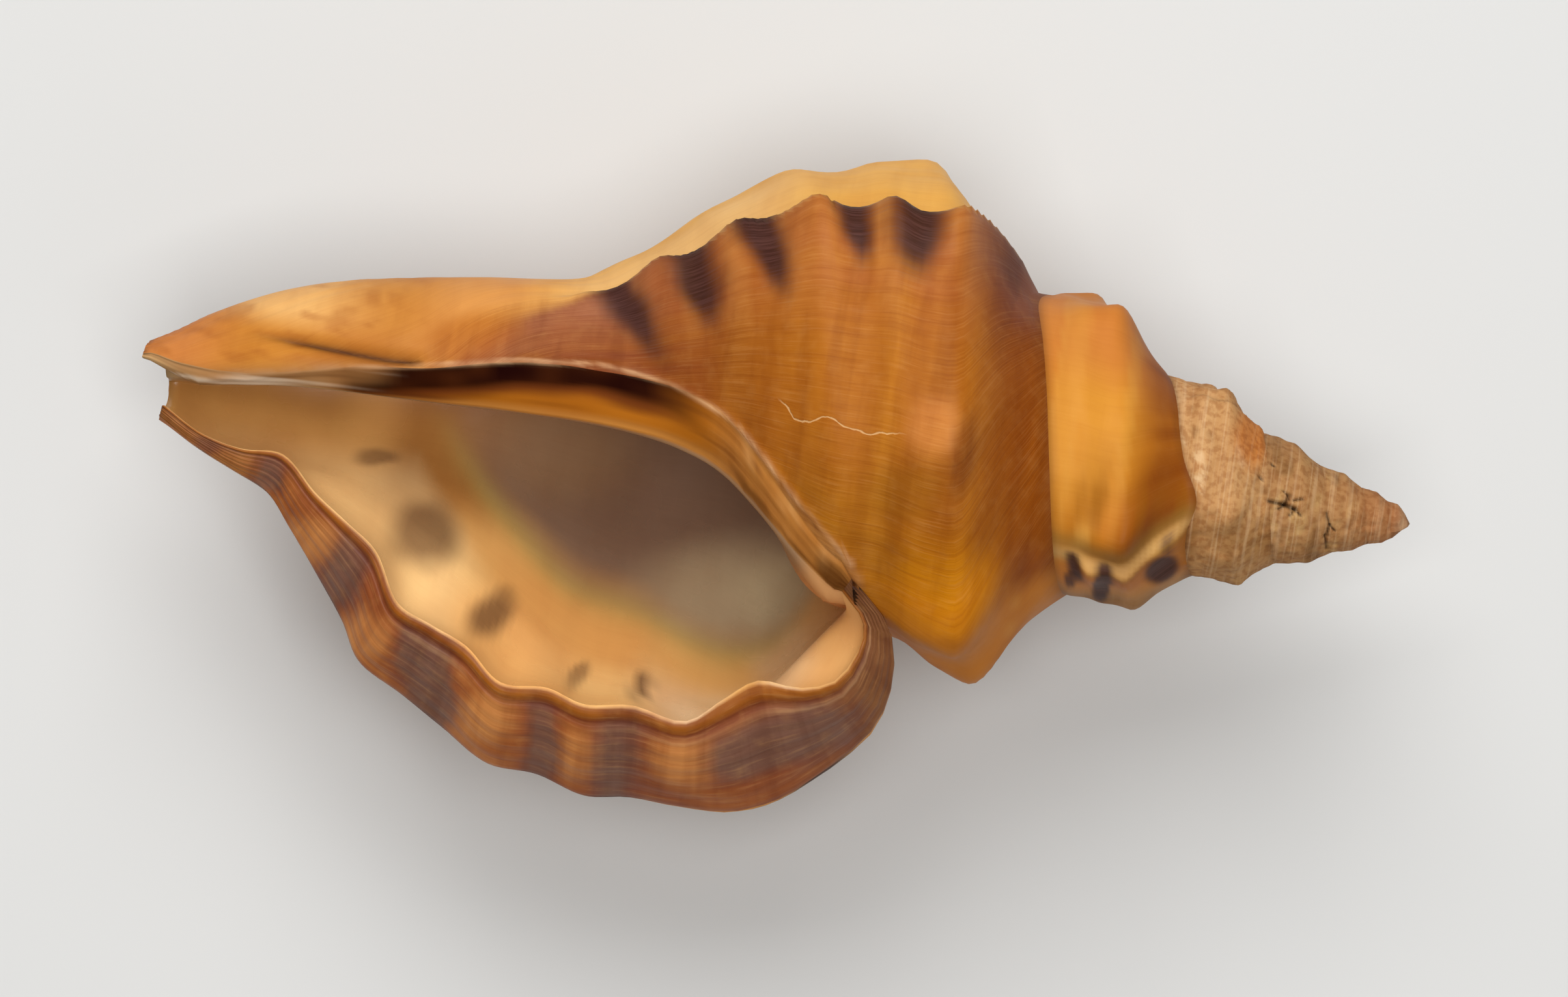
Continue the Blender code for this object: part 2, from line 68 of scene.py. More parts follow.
# Growth lines lean away from the axis: distance in the outline's units against lean
GROWTH_LEAN = [
    (0.9, 42), (0.965, 38), (1.067, 19), (1.12, 10), (1.17, 1), (1.22, -6.5), (1.3, -8),
    (1.4, -6), (1.55, -5.2), (1.68, -3.2), (1.8, -1), (2.00, -0.5), (2.14, -3), (2.28, -12),
    (2.38, -23), (2.46, -34), (2.7, -55), (6, -60),
]
EARLY_UPRIGHT, UPRIGHT_ANGLES = 0.55, (200.0, 330.0)  # earlier turns lean that much less
VARICES = [(62, 1), (-188, 1), (-401, 1), (-660, 0.7)]  # crest's angle, strength
VARIX_HEIGHT = 0.068
VARIX_RISE, VARIX_FALL = 26.0, 5.5  # degrees before and after its crest
VARIX_START, VARIX_FADE = (0.93, 1.03), (1.95, 2.4)
VARIX_FADED = 0.75  # how much of it has faded on the canal
VARIX_PLAIN, VARIX_CORDED = 0.72, 0.42  # its height between the cords, and what a cord adds
SUTURE_CLIMB = 2.2  # how far a varix lifts the suture beside it
CLIMB_AFTER, CLIMB_WIDTH = 34.0, 17.0  # degrees past the crest, and half width
KNOBS = [
    (250, 0.5), (208, 1), (163, 1), (101, 0.45), (0, 0.4), (-57, 1), (-98, 1),
    (-145, 0.8), (-245, 0.9), (-295, 1), (-345, 0.25), (-391, 1.1), (-451, 0.5), (-500, 0.8),
    (-545, 0.8), (-605, 0.9), (-652, 0.9), (-735, 0.6), (-770, 0.5), (-812, 0.6),
]
EARLY_KNOB_STEP = 45.0
EARLY_KNOB = 0.4  # how strong the knobs of the early turns are
WORN_ANGLES = (-1100.0, -700.0)  # turns before these are worn smooth
WORN_SHARE = 0.5  # how far they are worn towards a plain cone
WORN_CONE = 0.375  # radius of the worn cone, over the reach
KNOB_HEIGHT = 0.055
KNOB_HALF_ANGLE = 11.0
KNOB_SWEEP = 42.0  # degrees that a knob leans over on the ramp above it
KNOB_SWEPT = (0.9, 1.28)
KNOB_ABOVE, KNOB_BELOW = 0.085, 0.13  # how far a knob reaches over and under the shoulder
RIB_SHARE = 0.35  # height of the rib below a knob, over the knob's
RIB_START, RIB_FADE = (1.04, 1.2), (1.5, 1.95)
CORDS = [1.22, 1.385, 1.56, 1.735, 1.9, 2.07]
CORD_HEIGHT = 0.01
CORD_WIDTH = 0.045
CORDS_START, CORDS_FADE = (1.0, 1.1), (1.9, 2.3)
COVERED_FROM = (1.34, 1.5)  # a turn is smooth where the next one covers it
COVER_TURN = 50.0  # degrees before the corner over which the cover ends

# Lip: rim (x, y, z) and outer edge (x, y, z) at matching stations, from the corner to the canal's end
LIP_STATIONS = [
    ((-56.2, -15.3, 12.6), (-55.4, -13.7, 15.5)),
    ((-53.7, -18, 12.2), (-50.6, -18.8, 12)),
    ((-53.7, -20.8, 11.9), (-49.8, -23.8, 8.6)),
    ((-55.4, -24.2, 11.4), (-50.9, -28.6, 6)),
    ((-59, -25.6, 10.3), (-54.8, -33.2, 3.6)),
    ((-63.5, -25.6, 9.6), (-59.6, -37.3, 1.8)),
    ((-66.6, -28, 8.8), (-64, -39.2, 1)),
    ((-70, -30.7, 8.1), (-69.5, -39.5, 0.6)),
    ((-75.6, -29.9, 8), (-74.8, -39.3, 0.4)),
    ((-80.3, -30.5, 7.4), (-79.2, -39.8, 0.2)),
    ((-84.4, -29.4, 7.2), (-84.2, -38.4, 0.2)),
    ((-89, -29.6, 6.6), (-89.2, -38.1, 0.2)),
    ((-93.2, -26.4, 6.6), (-94.6, -35, 0.3)),
    ((-97, -24.8, 6.4), (-99, -32.4, 0.4)),
    ((-100.6, -23.2, 6), (-103.6, -29.9, 0.6)),
    ((-103.6, -18.3, 6), (-106.2, -25.7, 0.9)),
    ((-107, -15.8, 5.7), (-109.6, -21.2, 1.4)),
    ((-110.6, -13.3, 5.4), (-112.8, -17.3, 2)),
    ((-114.6, -9.9, 5.2), (-115.8, -13.9, 2.6)),
    ((-118.6, -10, 4.6), (-119.3, -12.3, 3)),
    ((-122.6, -9.2, 3.9), (-123, -10.6, 3)),
    ((-127.2, -6.8, 2.7), (-127.6, -8, 1.6)),
]
LIP_ANGLES = [
    (0, 316), (0.35, 293), (0.7, 284), (1.3, 283), (1.6, 286), (1.8, 289), (2, 292),
]
LIP_REACH_BACK = 34.0  # degrees of the outside that the lip's flare takes up
LIP_REACH_IN = 30.0  # degrees of the inside that the rim's flare takes up

# Inner lip: angle of its raised edge against x, and its rounded crest (x, y, z)
INNER_EDGE = [
    (-129.6, 42), (-127, 20), (-124, 9), (-120, 5), (-115, 6), (-108, 10),
    (-100, 11), (-95, 15), (-90, 17), (-85, 16.5), (-80, 14), (-75, 8),
    (-70, -2), (-67, -12), (-64, -22), (-60, -33), (-55.8, -40),
]
CREST = [
    (-129.6, -2.4, 1.8), (-127, -3.3, 3.1), (-125, -3.8, 4.3), (-120, -3.3, 6.2),
    (-115, -2.9, 7.4), (-110, -2.7, 8), (-100, -2.4, 8.6), (-90, -2.1, 9.4),
    (-85, -2.1, 9.8), (-80, -2.3, 10.2), (-75, -3, 11.2), (-70, -4.9, 12),
    (-66.5, -7.8, 12.2), (-63, -11.2, 12), (-60, -14.3, 11), (-57, -17, 9.6),
    (-55, -18.6, 8.6),
]
WALL = 2.1  # wall thickness
CANAL_END_WALL = 1.2
WALL_THINS = (1.6, 2.0)  # rows over which it thins towards the canal's end
PILLAR_RADIUS = [(-131, 1.8), (-120, 1.8), (-110, 2), (-95, 2.5), (-80, 3), (0, 3)]
# Where the hollow is closed: row against angle
DEEP_ANGLES = [(0, 105), (1, 105), (1.5, 140), (1.8, 180), (2, 190)]
STRAIGHT_ROWS = (1.5, 1.9)  # rows over which the inner side becomes straight
REST_DEPTH = 30.0  # from the axis down to the flat that the shell rests on
FRAME_SHIFT = (65.05, 5.185)  # moves the middle of the shell to x = 0, y = 0

# Faces
TURN_STEPS = 241  # faces in one turn, an odd number
RAMP_ROWS = 26  # rows from suture to suture
BASE_ROWS = 86  # rows from there to the canal's end
BAND_STEPS = 24  # faces across the lip's band
BAND_BULGE = 0.1  # how far the lip's faces bulge, over their width
BULGE_WAY = (0.0, -0.3, 1.0)
NO_LIP = 999.0  # degrees to the lip on the turns before the last
CREST_STEPS = 22  # faces across the inner lip
CREST_FADE = 16.0  # degrees over which the crest runs into the pillar
UNDERCUT = 0.9  # how far the wall below the crest is set back from it
UNDERCUT_TURN = 45.0  # degrees over which it is set back
UNDERCUT_ANGLES = (-160.0, -110.0)  # it ends between these
UNDERCUT_SOFT = 0.3  # how softly the set-back wall runs into its natural shape
MEET_ROWS = 1.2  # row by which the inner side has left the suture

# Picture: its middle in the model's frame, its width at the shell's outline, and its tilt
PICTURE_MIDDLE = (1.65, -1.7)
PICTURE_WIDTH = 159.8
PICTURE_TILT = 8.5
LENS, SENSOR_WIDTH = 400.0, 36.0

# Stage, in metres: the floor, how far the camera sees, and the lights
FLOOR_HALF = 1.5  # half its width
FLOOR_COLOUR, FLOOR_ROUGHNESS = (0.6, 0.6, 0.59, 1.0), 0.9
SIGHT = 10.0
LIT_PLACE = (0.0, 0.0, 0.02)
# Name, place, width, power
LIGHTS = [
    ("key", (-0.15, 0.55, 0.75), 0.6, 7.0),
    ("front", (0.05, -0.1, 1.35), 0.6, 10.0),
    ("fill", (0.55, -0.4, 0.55), 0.8, 1.0),
]
WORLD_COLOUR, WORLD_STRENGTH = (1.0, 0.98, 0.94, 1.0), 0.16

# Lines on the front, x against y: the raised edge of the callus, the groove, fold and fibres beside
# it, and the fine crack on the body
CALLUS_EDGE = [
    (-54.5, -14), (-56, -12), (-58, -10.3), (-60, -8.5), (-62, -6.8), (-64, -5), (-66, -3),
    (-68, -1.2), (-70, 0.4), (-72, 1.2), (-74, 2), (-76, 2.8), (-80, 3.4), (-84, 3.8),
    (-88, 3.3), (-92, 3), (-96, 2.1), (-103, 0.7), (-110, -0.3), (-118, -2.2), (-124, -3.5),
]
FISSURE = [(-124, 1), (-120, 1.8), (-114, 1.7), (-109, 1.4), (-105, 1.2), (-102, 1.3)]
CANAL_FOLD = [(-101, 5), (-104, 2), (-110, 1)]
FIBRES = [(-102, 0.4), (-106, -0.4), (-110, -1), (-118, -2.5), (-124, -3.6), (-129, -3.9)]
CRACK = [(-65, 3), (-64, 1.5), (-62.5, 1), (-60, 1.8), (-58.5, 1.2), (-56, 0.9), (-53, 1.3)]

# Cracks in the worn spire: ends, half width, depth
SPIRE_CRACKS = [
    ((-14.6, 0.1), (-12.9, 0), 0.2, 0.45), ((-12.9, 0), (-12.6, 1), 0.2, 0.45),
    ((-13.6, -0.6), (-12.9, 0), 0.15, 0.35), ((-12.9, 0), (-11.9, -0.3), 0.25, 0.5),
    ((-11.9, -0.3), (-11.2, -0.9), 0.15, 0.35), ((-12.2, 0.6), (-11.2, 0.9), 0.15, 0.3),
    ((-12.6, 1), (-13.3, 1.4), 0.12, 0.3), ((-11.9, -0.3), (-12.3, -1.1), 0.12, 0.3),
    ((-8.6, -0.2), (-8.1, -1.4), 0.12, 0.25), ((-8.1, -1.4), (-8.3, -2.6), 0.14, 0.25),
    ((-8.1, -1.4), (-7.5, -1.9), 0.12, 0.2), ((-8.3, -2.6), (-7.9, -3.8), 0.12, 0.2),
    ((-15.9, 2.6), (-15.6, 2.3), 0.15, 0.2), ((-14.9, 4), (-14.6, 3.8), 0.12, 0.2),
]

# Dark bars over each varix: place in the outline's units, half width, strength
VARIX_BARS = [
    (1.06, 0.04, 0.6), (1.31, 0.035, 1), (1.44, 0.035, 1), (1.64, 0.04, 1), (1.8, 0.045, 0.9),
    (1.98, 0.05, 0.8), (2.18, 0.05, 0.6),
]
# Bars of the varix in front: middle, half width, length, slope, strength
FRONT_BARS = [
    ((-44, 20.7), 1.6, 6, 0.3, 0.45), ((-54.3, 23.7), 2.5, 9, 0.13, 1),
    ((-60.7, 23.7), 1.9, 8.5, 0.26, 1), ((-70.2, 20.1), 2.2, 9.5, 0.52, 1),
    ((-76.4, 15.8), 2.4, 9.5, 0.45, 1), ((-83.8, 12), 2.6, 10, 0.85, 0.95),
]
# Bars on the turn before the last: middle, half sizes, turn, strength
EARLY_BARS = [
    ((-33.4, -10.6), 0.8, 1.3, 5, 0.8), ((-30.2, -11.2), 1, 1.7, 5, 1),
    ((-24.3, -8.4), 2.1, 1.5, 35, 1),
]
# Bars across the lip: ends on the rim and on the outer edge, half width, strength
LIP_BARS = [
    ((-105, -17), (-107.8, -24), 2.5, 0.9), ((-115, -10.8), (-116, -13.5), 1.6, 0.8),
    ((-121.8, -9.6), (-122.5, -11), 1, 0.6), ((-97.8, -26), (-95.8, -33.5), 2.8, 1),
    ((-84.6, -31.5), (-84.2, -38), 2, 0.85), ((-76.3, -31.5), (-76.2, -39), 2.6, 0.95),
    ((-64, -33.6), (-55.5, -28.8), 3.2, 0.95),
]
# Middles of the lip's pale bumps: the band's paler orange, with a painted highlight on its bulges
LIP_PALE_AND_LIT_BUMPS = [(-104, -27), (-90.5, -33.5), (-80, -36), (-69.5, -35), (-53, -27.5), (-110, -18.5)]
# Dark spots inside the aperture: middle, half sizes, turn, strength
INSIDE_SPOTS = [
    ((-105.2, -8.8), 2.3, 1, 10, 0.6), ((-99.2, -15.9), 3.6, 3.6, 20, 0.75),
    ((-91, -23), 2, 3, -35, 0.8), ((-81.5, -27.7), 0.8, 1.8, -30, 0.6),
    ((-75, -28.2), 1.1, 1.7, -15, 0.8),
]
# Where the dark part deep inside the aperture starts, x against y
DEEP_LINE = [
    (-101, -3), (-96, -8.4), (-90.3, -14), (-84, -18.6), (-75.6, -20.7), (-71.2, -22.8),
    (-65.6, -23.4), (-60.5, -20.6), (-57, -17.5), (-53, -13),
]

# Spots on the last turn and deep inside the aperture: colour, middle, half sizes, turn, strength. On the
# last turn, the pale spot on the knob is a painted highlight and the dark one beside it is painted shade.
# Deep inside, the two pale spots in the corner are painted light.
BODY_SPOTS_AND_KNOB_LIGHT = [
    # cd8440 is a painted highlight on the knob, and #6f3716 is the painted shade beside it
    ("#a8691a", (-58, -9), 7, 6, 0, 0.5), ("#cd8440", (-49.5, 2.4), 2.8, 3.2, 0, 0.65),
    ("#6f3716", (-46.2, 0), 1.5, 4.5, 0, 0.55), ("#8a5410", (-51.5, -4.5), 4, 3, 0, 0.45),
]
DEEP_SPOTS_AND_CORNER_LIGHT = [
    # cdb68e and #d8c69c are painted light on the deep wall in the corner
    ("#7b5e4b", (-74, -8), 13, 7, 0, 0.7), ("#cdb68e", (-66, -18), 12, 6.5, 12, 0.6),
    ("#d8c69c", (-62.5, -17), 4.5, 4, 20, 0.45), ("#a98252", (-88, -5), 9, 6, 0, 0.3),
]

# Growth in millimetres, which starts at a place of its own on each part of the wall
GIRTH_RADIUS = 28.0  # radius at which it is measured on the outside
BAND_RUN, BAND_WIDTH = 900.0, 8.5  # the lip's band
BAND_PITCH = 300.0  # where the way along the lip starts
WALL_RUN, WALL_PACE = 950.0, 0.45  # pace: growth in one degree
CREST_RUN, CREST_WIDTH = 1100.0, 5.0  # the inner lip
PILLAR_PACE = 0.3
FRONT_HEIGHTS = (-4.0, 3.0)  # heights between which the back becomes the front

# Fine relief: heights, spacings and half widths
RIPPLE, RIPPLE_STEP = 0.06, 2.1
FOLD, FOLD_STEP = 0.3, 3.4  # of the worn turns
BAND_RIDGE, BAND_RIDGE_STEP, BAND_ROUGH = 0.07, 1.25, 0.05
RIM_ROLL, RIM_ROLL_AT, RIM_GROOVE_AT = 0.16, 0.92, 0.82  # places over the band's width
BAR_DIP = 0.3  # of the band at its dark bars
CALLUS_RIDGE, CALLUS_RIDGE_HALF = 0.34, 0.42
GROOVE, GROOVE_DEEPER, GROOVE_HALF = 0.3, 0.75, 0.85  # beside the callus
FIBRE, FIBRE_ROUGH, FIBRE_HALF = 0.18, 0.16, 1.1
CREST_WAVE, CREST_PIT = 0.1, 0.09
SPIRE_ROUGH = 0.1

# Places on the wall, and what is known of each corner of a face
OUTSIDE, BAND, WALL_INSIDE, CREST_FACE, PILLAR = range(5)
FIELDS = ["part", "angle", "down", "to_lip", "across", "along"]


def curve(at, points, column=1):
    """A smooth curve through the points, read at the values given."""
    table = np.array(points, float)
    table = table[np.argsort(table[:, 0])]
    xs, ys = table[:, 0], table[:, column]
    at = np.clip(at, xs[0], xs[-1])
    slopes = np.gradient(ys, xs)
    place = np.clip(np.searchsorted(xs, at) - 1, 0, len(xs) - 2)
    span = xs[place + 1] - xs[place]
    u = (at - xs[place]) / span
    return (
        ys[place] * (2 * u**3 - 3 * u**2 + 1)
        + ys[place + 1] * (3 * u**2 - 2 * u**3)
        + span * slopes[place] * (u**3 - 2 * u**2 + u)
        + span * slopes[place + 1] * (u**3 - u**2)
    )


def ease(value, start, end):
    """0 before start, 1 after end and smooth between them."""
    u = np.clip((value - start) / (end - start), 0, 1)
    return u * u * (3 - 2 * u)


def fade(value, start, end):
    """1 before start, 0 after end and smooth between them."""
    return 1 - ease(value, start, end)


def bell(value, width):
    """1 at zero, falling off on both sides."""
    return np.exp(-((value / width) ** 2))


def smooth_max(a, b, soft):
    """The larger of two values, with a soft change from one to the other."""
    return (a + b + np.sqrt((a - b) ** 2 + 4 * soft**2)) / 2


def plain_reach(angle):
    """Distance from the spiral's apex to the suture, without its waves."""
    return SUTURE_REACH * WHORL_RATIO ** (angle / 360)


def suture_reach(angle):
    """Distance from the spiral's apex to the suture, which climbs beside each varix."""
    reach = plain_reach(angle)
    for varix, _ in VARICES:
        climb = SUTURE_CLIMB * plain_reach(varix) / SUTURE_REACH
        reach = reach - climb * bell(angle - varix - CLIMB_AFTER, CLIMB_WIDTH)
    return reach


def varix_profile(turned):
    """A varix across its crest: a long rise and a short steep fall."""
    rise = ease(turned, -VARIX_RISE, 0) ** 1.6
    fall = fade(turned, 0, VARIX_FALL)
    return np.where(turned < 0, rise, fall)


def knob_angles():
    """Angle and strength of every knob: the ones in the table, then even ones to the tip."""
    early = np.arange(KNOBS[-1][0] - EARLY_KNOB_STEP, FIRST_ANGLE, -EARLY_KNOB_STEP)
    return KNOBS + [(float(angle), EARLY_KNOB) for angle in early]


def grown_angle(angle, out):
    """The angle that the growth line through a place has at the shoulder, less its lean there."""
    return angle - curve(out, GROWTH_LEAN) * (1 - EARLY_UPRIGHT * ease(-angle, *UPRIGHT_ANGLES))


def relief(angle, out):
    """How far knobs, ribs, cords and varices stand out, in the outline's units."""
    grown = grown_angle(angle, out)
    swept = angle - KNOB_SWEEP * fade(out, *KNOB_SWEPT)
    height = 0.0
    peak = np.where(out < SHOULDER, bell(out - SHOULDER, KNOB_ABOVE), bell(out - SHOULDER, KNOB_BELOW))
    rib = RIB_SHARE * ease(out, *RIB_START) * fade(out, *RIB_FADE)
    for knob, strength in knob_angles():
        height = height + strength * KNOB_HEIGHT * bell(swept - knob, KNOB_HALF_ANGLE) * (peak + rib)
    cords = sum(bell(out - cord, CORD_WIDTH) for cord in CORDS)
    swell = 0.0
    for varix, strength in VARICES:
        swell = swell + strength * varix_profile(grown - varix)
    along = ease(out, *VARIX_START) * (1 - VARIX_FADED * ease(out, *VARIX_FADE))
    height = height + VARIX_HEIGHT * swell * along * (VARIX_PLAIN + VARIX_CORDED * cords)
    height = height + CORD_HEIGHT * cords * ease(out, *CORDS_START) * fade(out, *CORDS_FADE)
    covered = ease(out, *COVERED_FROM) * fade(angle, CORNER_ANGLE - COVER_TURN, CORNER_ANGLE)
    return height * (1 - covered)


def outline(angle, reach, relieved=True, pillar=False):
    """Radius at this angle and distance from the spiral's apex."""
    own = plain_reach(angle)
    out = reach / own
    radius = curve(out, OUTLINE)
    whorl = np.clip((out - 1) / (WHORL_RATIO - 1), 0, 1)
    swell = np.sin(np.pi * whorl) ** 2
    radius = radius + SHOULDER_SWELL * ease(angle, *SWELL_ANGLES) * swell
    if relieved:
        radius = radius + relief(angle, out)
    worn = WORN_SHARE * fade(angle, *WORN_ANGLES) * (out < WHORL_RATIO)
    radius = radius + worn * (WORN_CONE * out - radius)
    radius = radius * own
    x = SPIRAL_APEX_X - reach
    turned = np.radians(angle)
    if pillar:
        canal = curve(x, PILLAR_RADIUS)
    else:
        canal = curve(x, CANAL_RADIUS) * (1 - CANAL_FRONT_FLATTENING * (1 + np.cos(turned)) / 2)
    below = ease(angle, CORNER_ANGLE - JOIN_TURN, CORNER_ANGLE) * ease(out, *JOINED_FROM)
    joined = smooth_max(radius, canal, SMOOTH_JOIN)
    return radius + (joined - radius) * np.maximum(below, float(pillar))


def place(angle, reach, radius):
    """The point at an angle, a distance from the spiral's apex and a radius."""
    x = SPIRAL_APEX_X - reach
    turned = np.radians(angle)
    return np.stack([x, curve(x, CENTRE_LINE) + radius * np.sin(turned), radius * np.cos(turned)], axis=-1)


def canal_end(angle):
    """Distance from the spiral's apex to the canal's end, which slants."""
    set_back = CANAL_END_SLANT * (1 - np.cos(np.radians(angle - CANAL_END_FRONT))) / 2
    return SPIRAL_APEX_X - (CANAL_END_X + set_back)


def reach_of(angle, down):
    """Distance from the spiral's apex of a row: 0 at the suture, 1 a whorl on, 2 at the canal's end."""
    first, second = suture_reach(angle), suture_reach(angle + 360)
    upper = first + (second - first) * np.clip(down, 0, 1)
    lower = np.clip(down - 1, 0, 1)
    return upper + (canal_end(angle) - second) * lower


def thickness(down):
    """Of the wall at a row."""
    return WALL + (CANAL_END_WALL - WALL) * ease(down, *WALL_THINS)


def inner_wall(angle, down):
    """The inside of the outer wall: the plain outline, moved in by the wall's thickness."""
    step = 0.01
    here, there = reach_of(angle, down), reach_of(angle, down + step)
    radius = outline(angle, here, relieved=False)
    slope = (outline(angle, there, relieved=False) - radius) / np.maximum(there - here, 1e-6)
    length = np.sqrt(1 + slope**2)
    wall = thickness(down)
    reach = here + wall * slope / length
    return place(angle, reach, radius - wall / length)


def length_along(points):
    """Length of the line through the points, up to each of them."""
    return np.concatenate([[0], np.cumsum(np.linalg.norm(np.diff(points, axis=0), axis=1))])


def lip_curves(down, lip_angle):
    """Rim and outer edge of the lip at each row, spread along the lip by its length."""
    own = place(lip_angle, reach_of(lip_angle, down), outline(lip_angle, reach_of(lip_angle, down)))
    rim, edge = (np.array([pair[k] for pair in LIP_STATIONS]) for k in (0, 1))
    run, stations = length_along(own), length_along((rim + edge) / 2)
    share, marks = run / run[-1], stations / stations[-1]
    return [
        np.stack([curve(share, np.column_stack([marks, line[:, k]])) for k in range(3)], axis=-1)
        for line in (rim, edge)
    ]


def rows_down():
    """Every row: 0 at the suture, 1 a whorl on, 2 at the canal's end."""
    return np.concatenate([np.linspace(0, 1, RAMP_ROWS + 1), 1 + np.linspace(0, 1, BASE_ROWS + 1)[1:]])


def tip(reach):
    """Rounds off the worn tip."""
    u = np.clip((reach - SPIRAL_APEX_X) / TIP_ROUNDING, 0, 1)
    return np.sqrt(1 - (1 - u) ** 2)


def spire():
    """Angles and points of the strip before its last turn, (column, row)."""
    step = 360.0 / TURN_STEPS
    count = int(round((CORNER_ANGLE - FIRST_ANGLE) / step))
    angle = CORNER_ANGLE - step * np.arange(count, 0, -1)[:, None]
    down = np.linspace(0, 1, RAMP_ROWS + 1)
    reach = np.maximum(reach_of(angle, down), SPIRAL_APEX_X + 0.05)
    return angle + 0 * down, place(angle, reach, outline(angle, reach) * tip(reach))


def last_turn(down):
    """Angles and points of the last turn's outside, (column, row), from the inner to the outer lip."""
    lip_angle = curve(down, LIP_ANGLES)
    first = np.full_like(down, CORNER_ANGLE)
    for _ in range(6):
        x = SPIRAL_APEX_X - reach_of(first, down)
        first = np.where(down > 1, curve(x, INNER_EDGE), CORNER_ANGLE)
    share = np.linspace(0, 1, TURN_STEPS + 1)[:, None] ** (1 - 0.2 * ease(down, 1.0, 2.0))
    angle = first + (lip_angle - first) * share
    reach = reach_of(angle, down)
    points = place(angle, reach, outline(angle, reach))
    rim, edge = lip_curves(down, lip_angle)
    pull = ease(angle, lip_angle - LIP_REACH_BACK, lip_angle)[..., None] ** 1.5
    return angle, points + pull * (edge - points[-1]), rim, edge


def bulged(start, end, steps):
    """A bulging face of the lip, (column, row), from one line to the other."""
    share = np.linspace(0, 1, steps + 1)[:, None, None]
    bulge = BAND_BULGE * np.linalg.norm(end - start, axis=1)[:, None] * np.array(BULGE_WAY)
    return start + (end - start) * share + bulge * np.sin(np.pi * share)


def outer_side(down, lip_angle, rim, edge):
    """From the lip's outer edge over its band to the rim, then in along the outer wall, (column, row)."""
    share = np.linspace(0, 1, (TURN_STEPS + 1) // 2 - BAND_STEPS)[1:, None] ** 1.2
    angle = lip_angle + (curve(down, DEEP_ANGLES) - lip_angle) * share
    pull = fade(lip_angle - angle, 0, LIP_REACH_IN)
    start = inner_wall(lip_angle, down)
    wall = inner_wall(angle, down) + pull[..., None] * (rim - start)
    angle = np.concatenate([np.tile(lip_angle, (BAND_STEPS + 1, 1)), angle])
    return angle, np.concatenate([bulged(edge, rim, BAND_STEPS), wall])


def inner_side(down, first):
    """From the inner lip's edge over its crest, then in along the pillar, (column, row)."""
    crest_x = first[:, 0]
    for _ in range(4):
        crest = np.stack([crest_x, curve(crest_x, CREST, 1), curve(crest_x, CREST, 2)], axis=-1)
        from_middle = crest[:, 1] - curve(crest_x, CENTRE_LINE)
        crest_angle = np.degrees(np.arctan2(from_middle, crest[:, 2]))
        crest_x = SPIRAL_APEX_X - reach_of(crest_angle, down)
    crest_radius = np.hypot(from_middle, crest[:, 2])
    past = np.linspace(0, 1, (TURN_STEPS + 1) // 2 - CREST_STEPS)[1:, None]
    angle = crest_angle + (curve(down, DEEP_ANGLES) - 360 - crest_angle) * past
    reach = reach_of(angle, down)
    radius = outline(angle, reach, relieved=False, pillar=True)
    start = outline(crest_angle, SPIRAL_APEX_X - crest[:, 0], relieved=False, pillar=True)
    radius = radius + (crest_radius - start) * np.exp((angle - crest_angle) / CREST_FADE)
    back = place(angle, reach, radius)
    straight = ease(down, *STRAIGHT_ROWS)[:, None]
    back = back + straight * (crest + (back[-1] - crest) * past[..., None] - back)
    shelf = curve(back[..., 0], CREST, 1) + UNDERCUT * ease(crest_angle - angle, 0, UNDERCUT_TURN)
    over_crest = ease(crest_angle - angle, 0, UNDERCUT_TURN / 3) * ease(angle, *UNDERCUT_ANGLES)
    back[..., 1] += over_crest * (smooth_max(back[..., 1], shelf, UNDERCUT_SOFT) - back[..., 1])
    angle = np.concatenate([np.tile(crest_angle, (CREST_STEPS + 1, 1)), angle])
    return angle, np.concatenate([bulged(first, crest, CREST_STEPS), back])


class Surface:
    """Grids of points with their fields, and the faces between them.

    A corner keeps its own fields, but stands at the point of another corner where two grids meet.
    """

    def __init__(self):
        self.points = np.zeros((0, 3))
        self.fields = {name: np.zeros(0) for name in FIELDS}
        self.stands = np.zeros(0, int)
        self.faces = []

    def grid(self, points, **fields):
        """Adds a grid of corners with their fields, and returns their numbers."""
        count = len(self.points)
        ids = np.arange(count, count + points.size // 3).reshape(points.shape[:-1])
        self.points = np.concatenate([self.points, points.reshape(-1, 3)])
        self.stands = np.concatenate([self.stands, ids.reshape(-1)])
        for name in FIELDS:
            values = np.broadcast_to(fields.get(name, 0.0), ids.shape).reshape(-1)
            self.fields[name] = np.concatenate([self.fields[name], values])
        return ids

    def join(self, corners, others):
        """Puts the corners at the points of the others."""
        self.stands[np.ravel(corners)] = self.stands[np.ravel(others)]

    def quads(self, ids, flip=False):
        """Adds the faces between the corners of a grid."""
        faces = np.stack([ids[:-1, :-1], ids[1:, :-1], ids[1:, 1:], ids[:-1, 1:]], axis=-1).reshape(-1, 4)
        self.faces += (faces[:, ::-1] if flip else faces).tolist()

    def cleaned(self):
        """Faces without the corners that stand at the same point as the one before."""
        kept = []
        for face in self.faces:
            stands = self.stands[face]
            corners = [corner for k, corner in enumerate(face) if stands[k] != stands[k - 1]]
            if len(corners) > 2:
                kept.append(corners)
        return kept


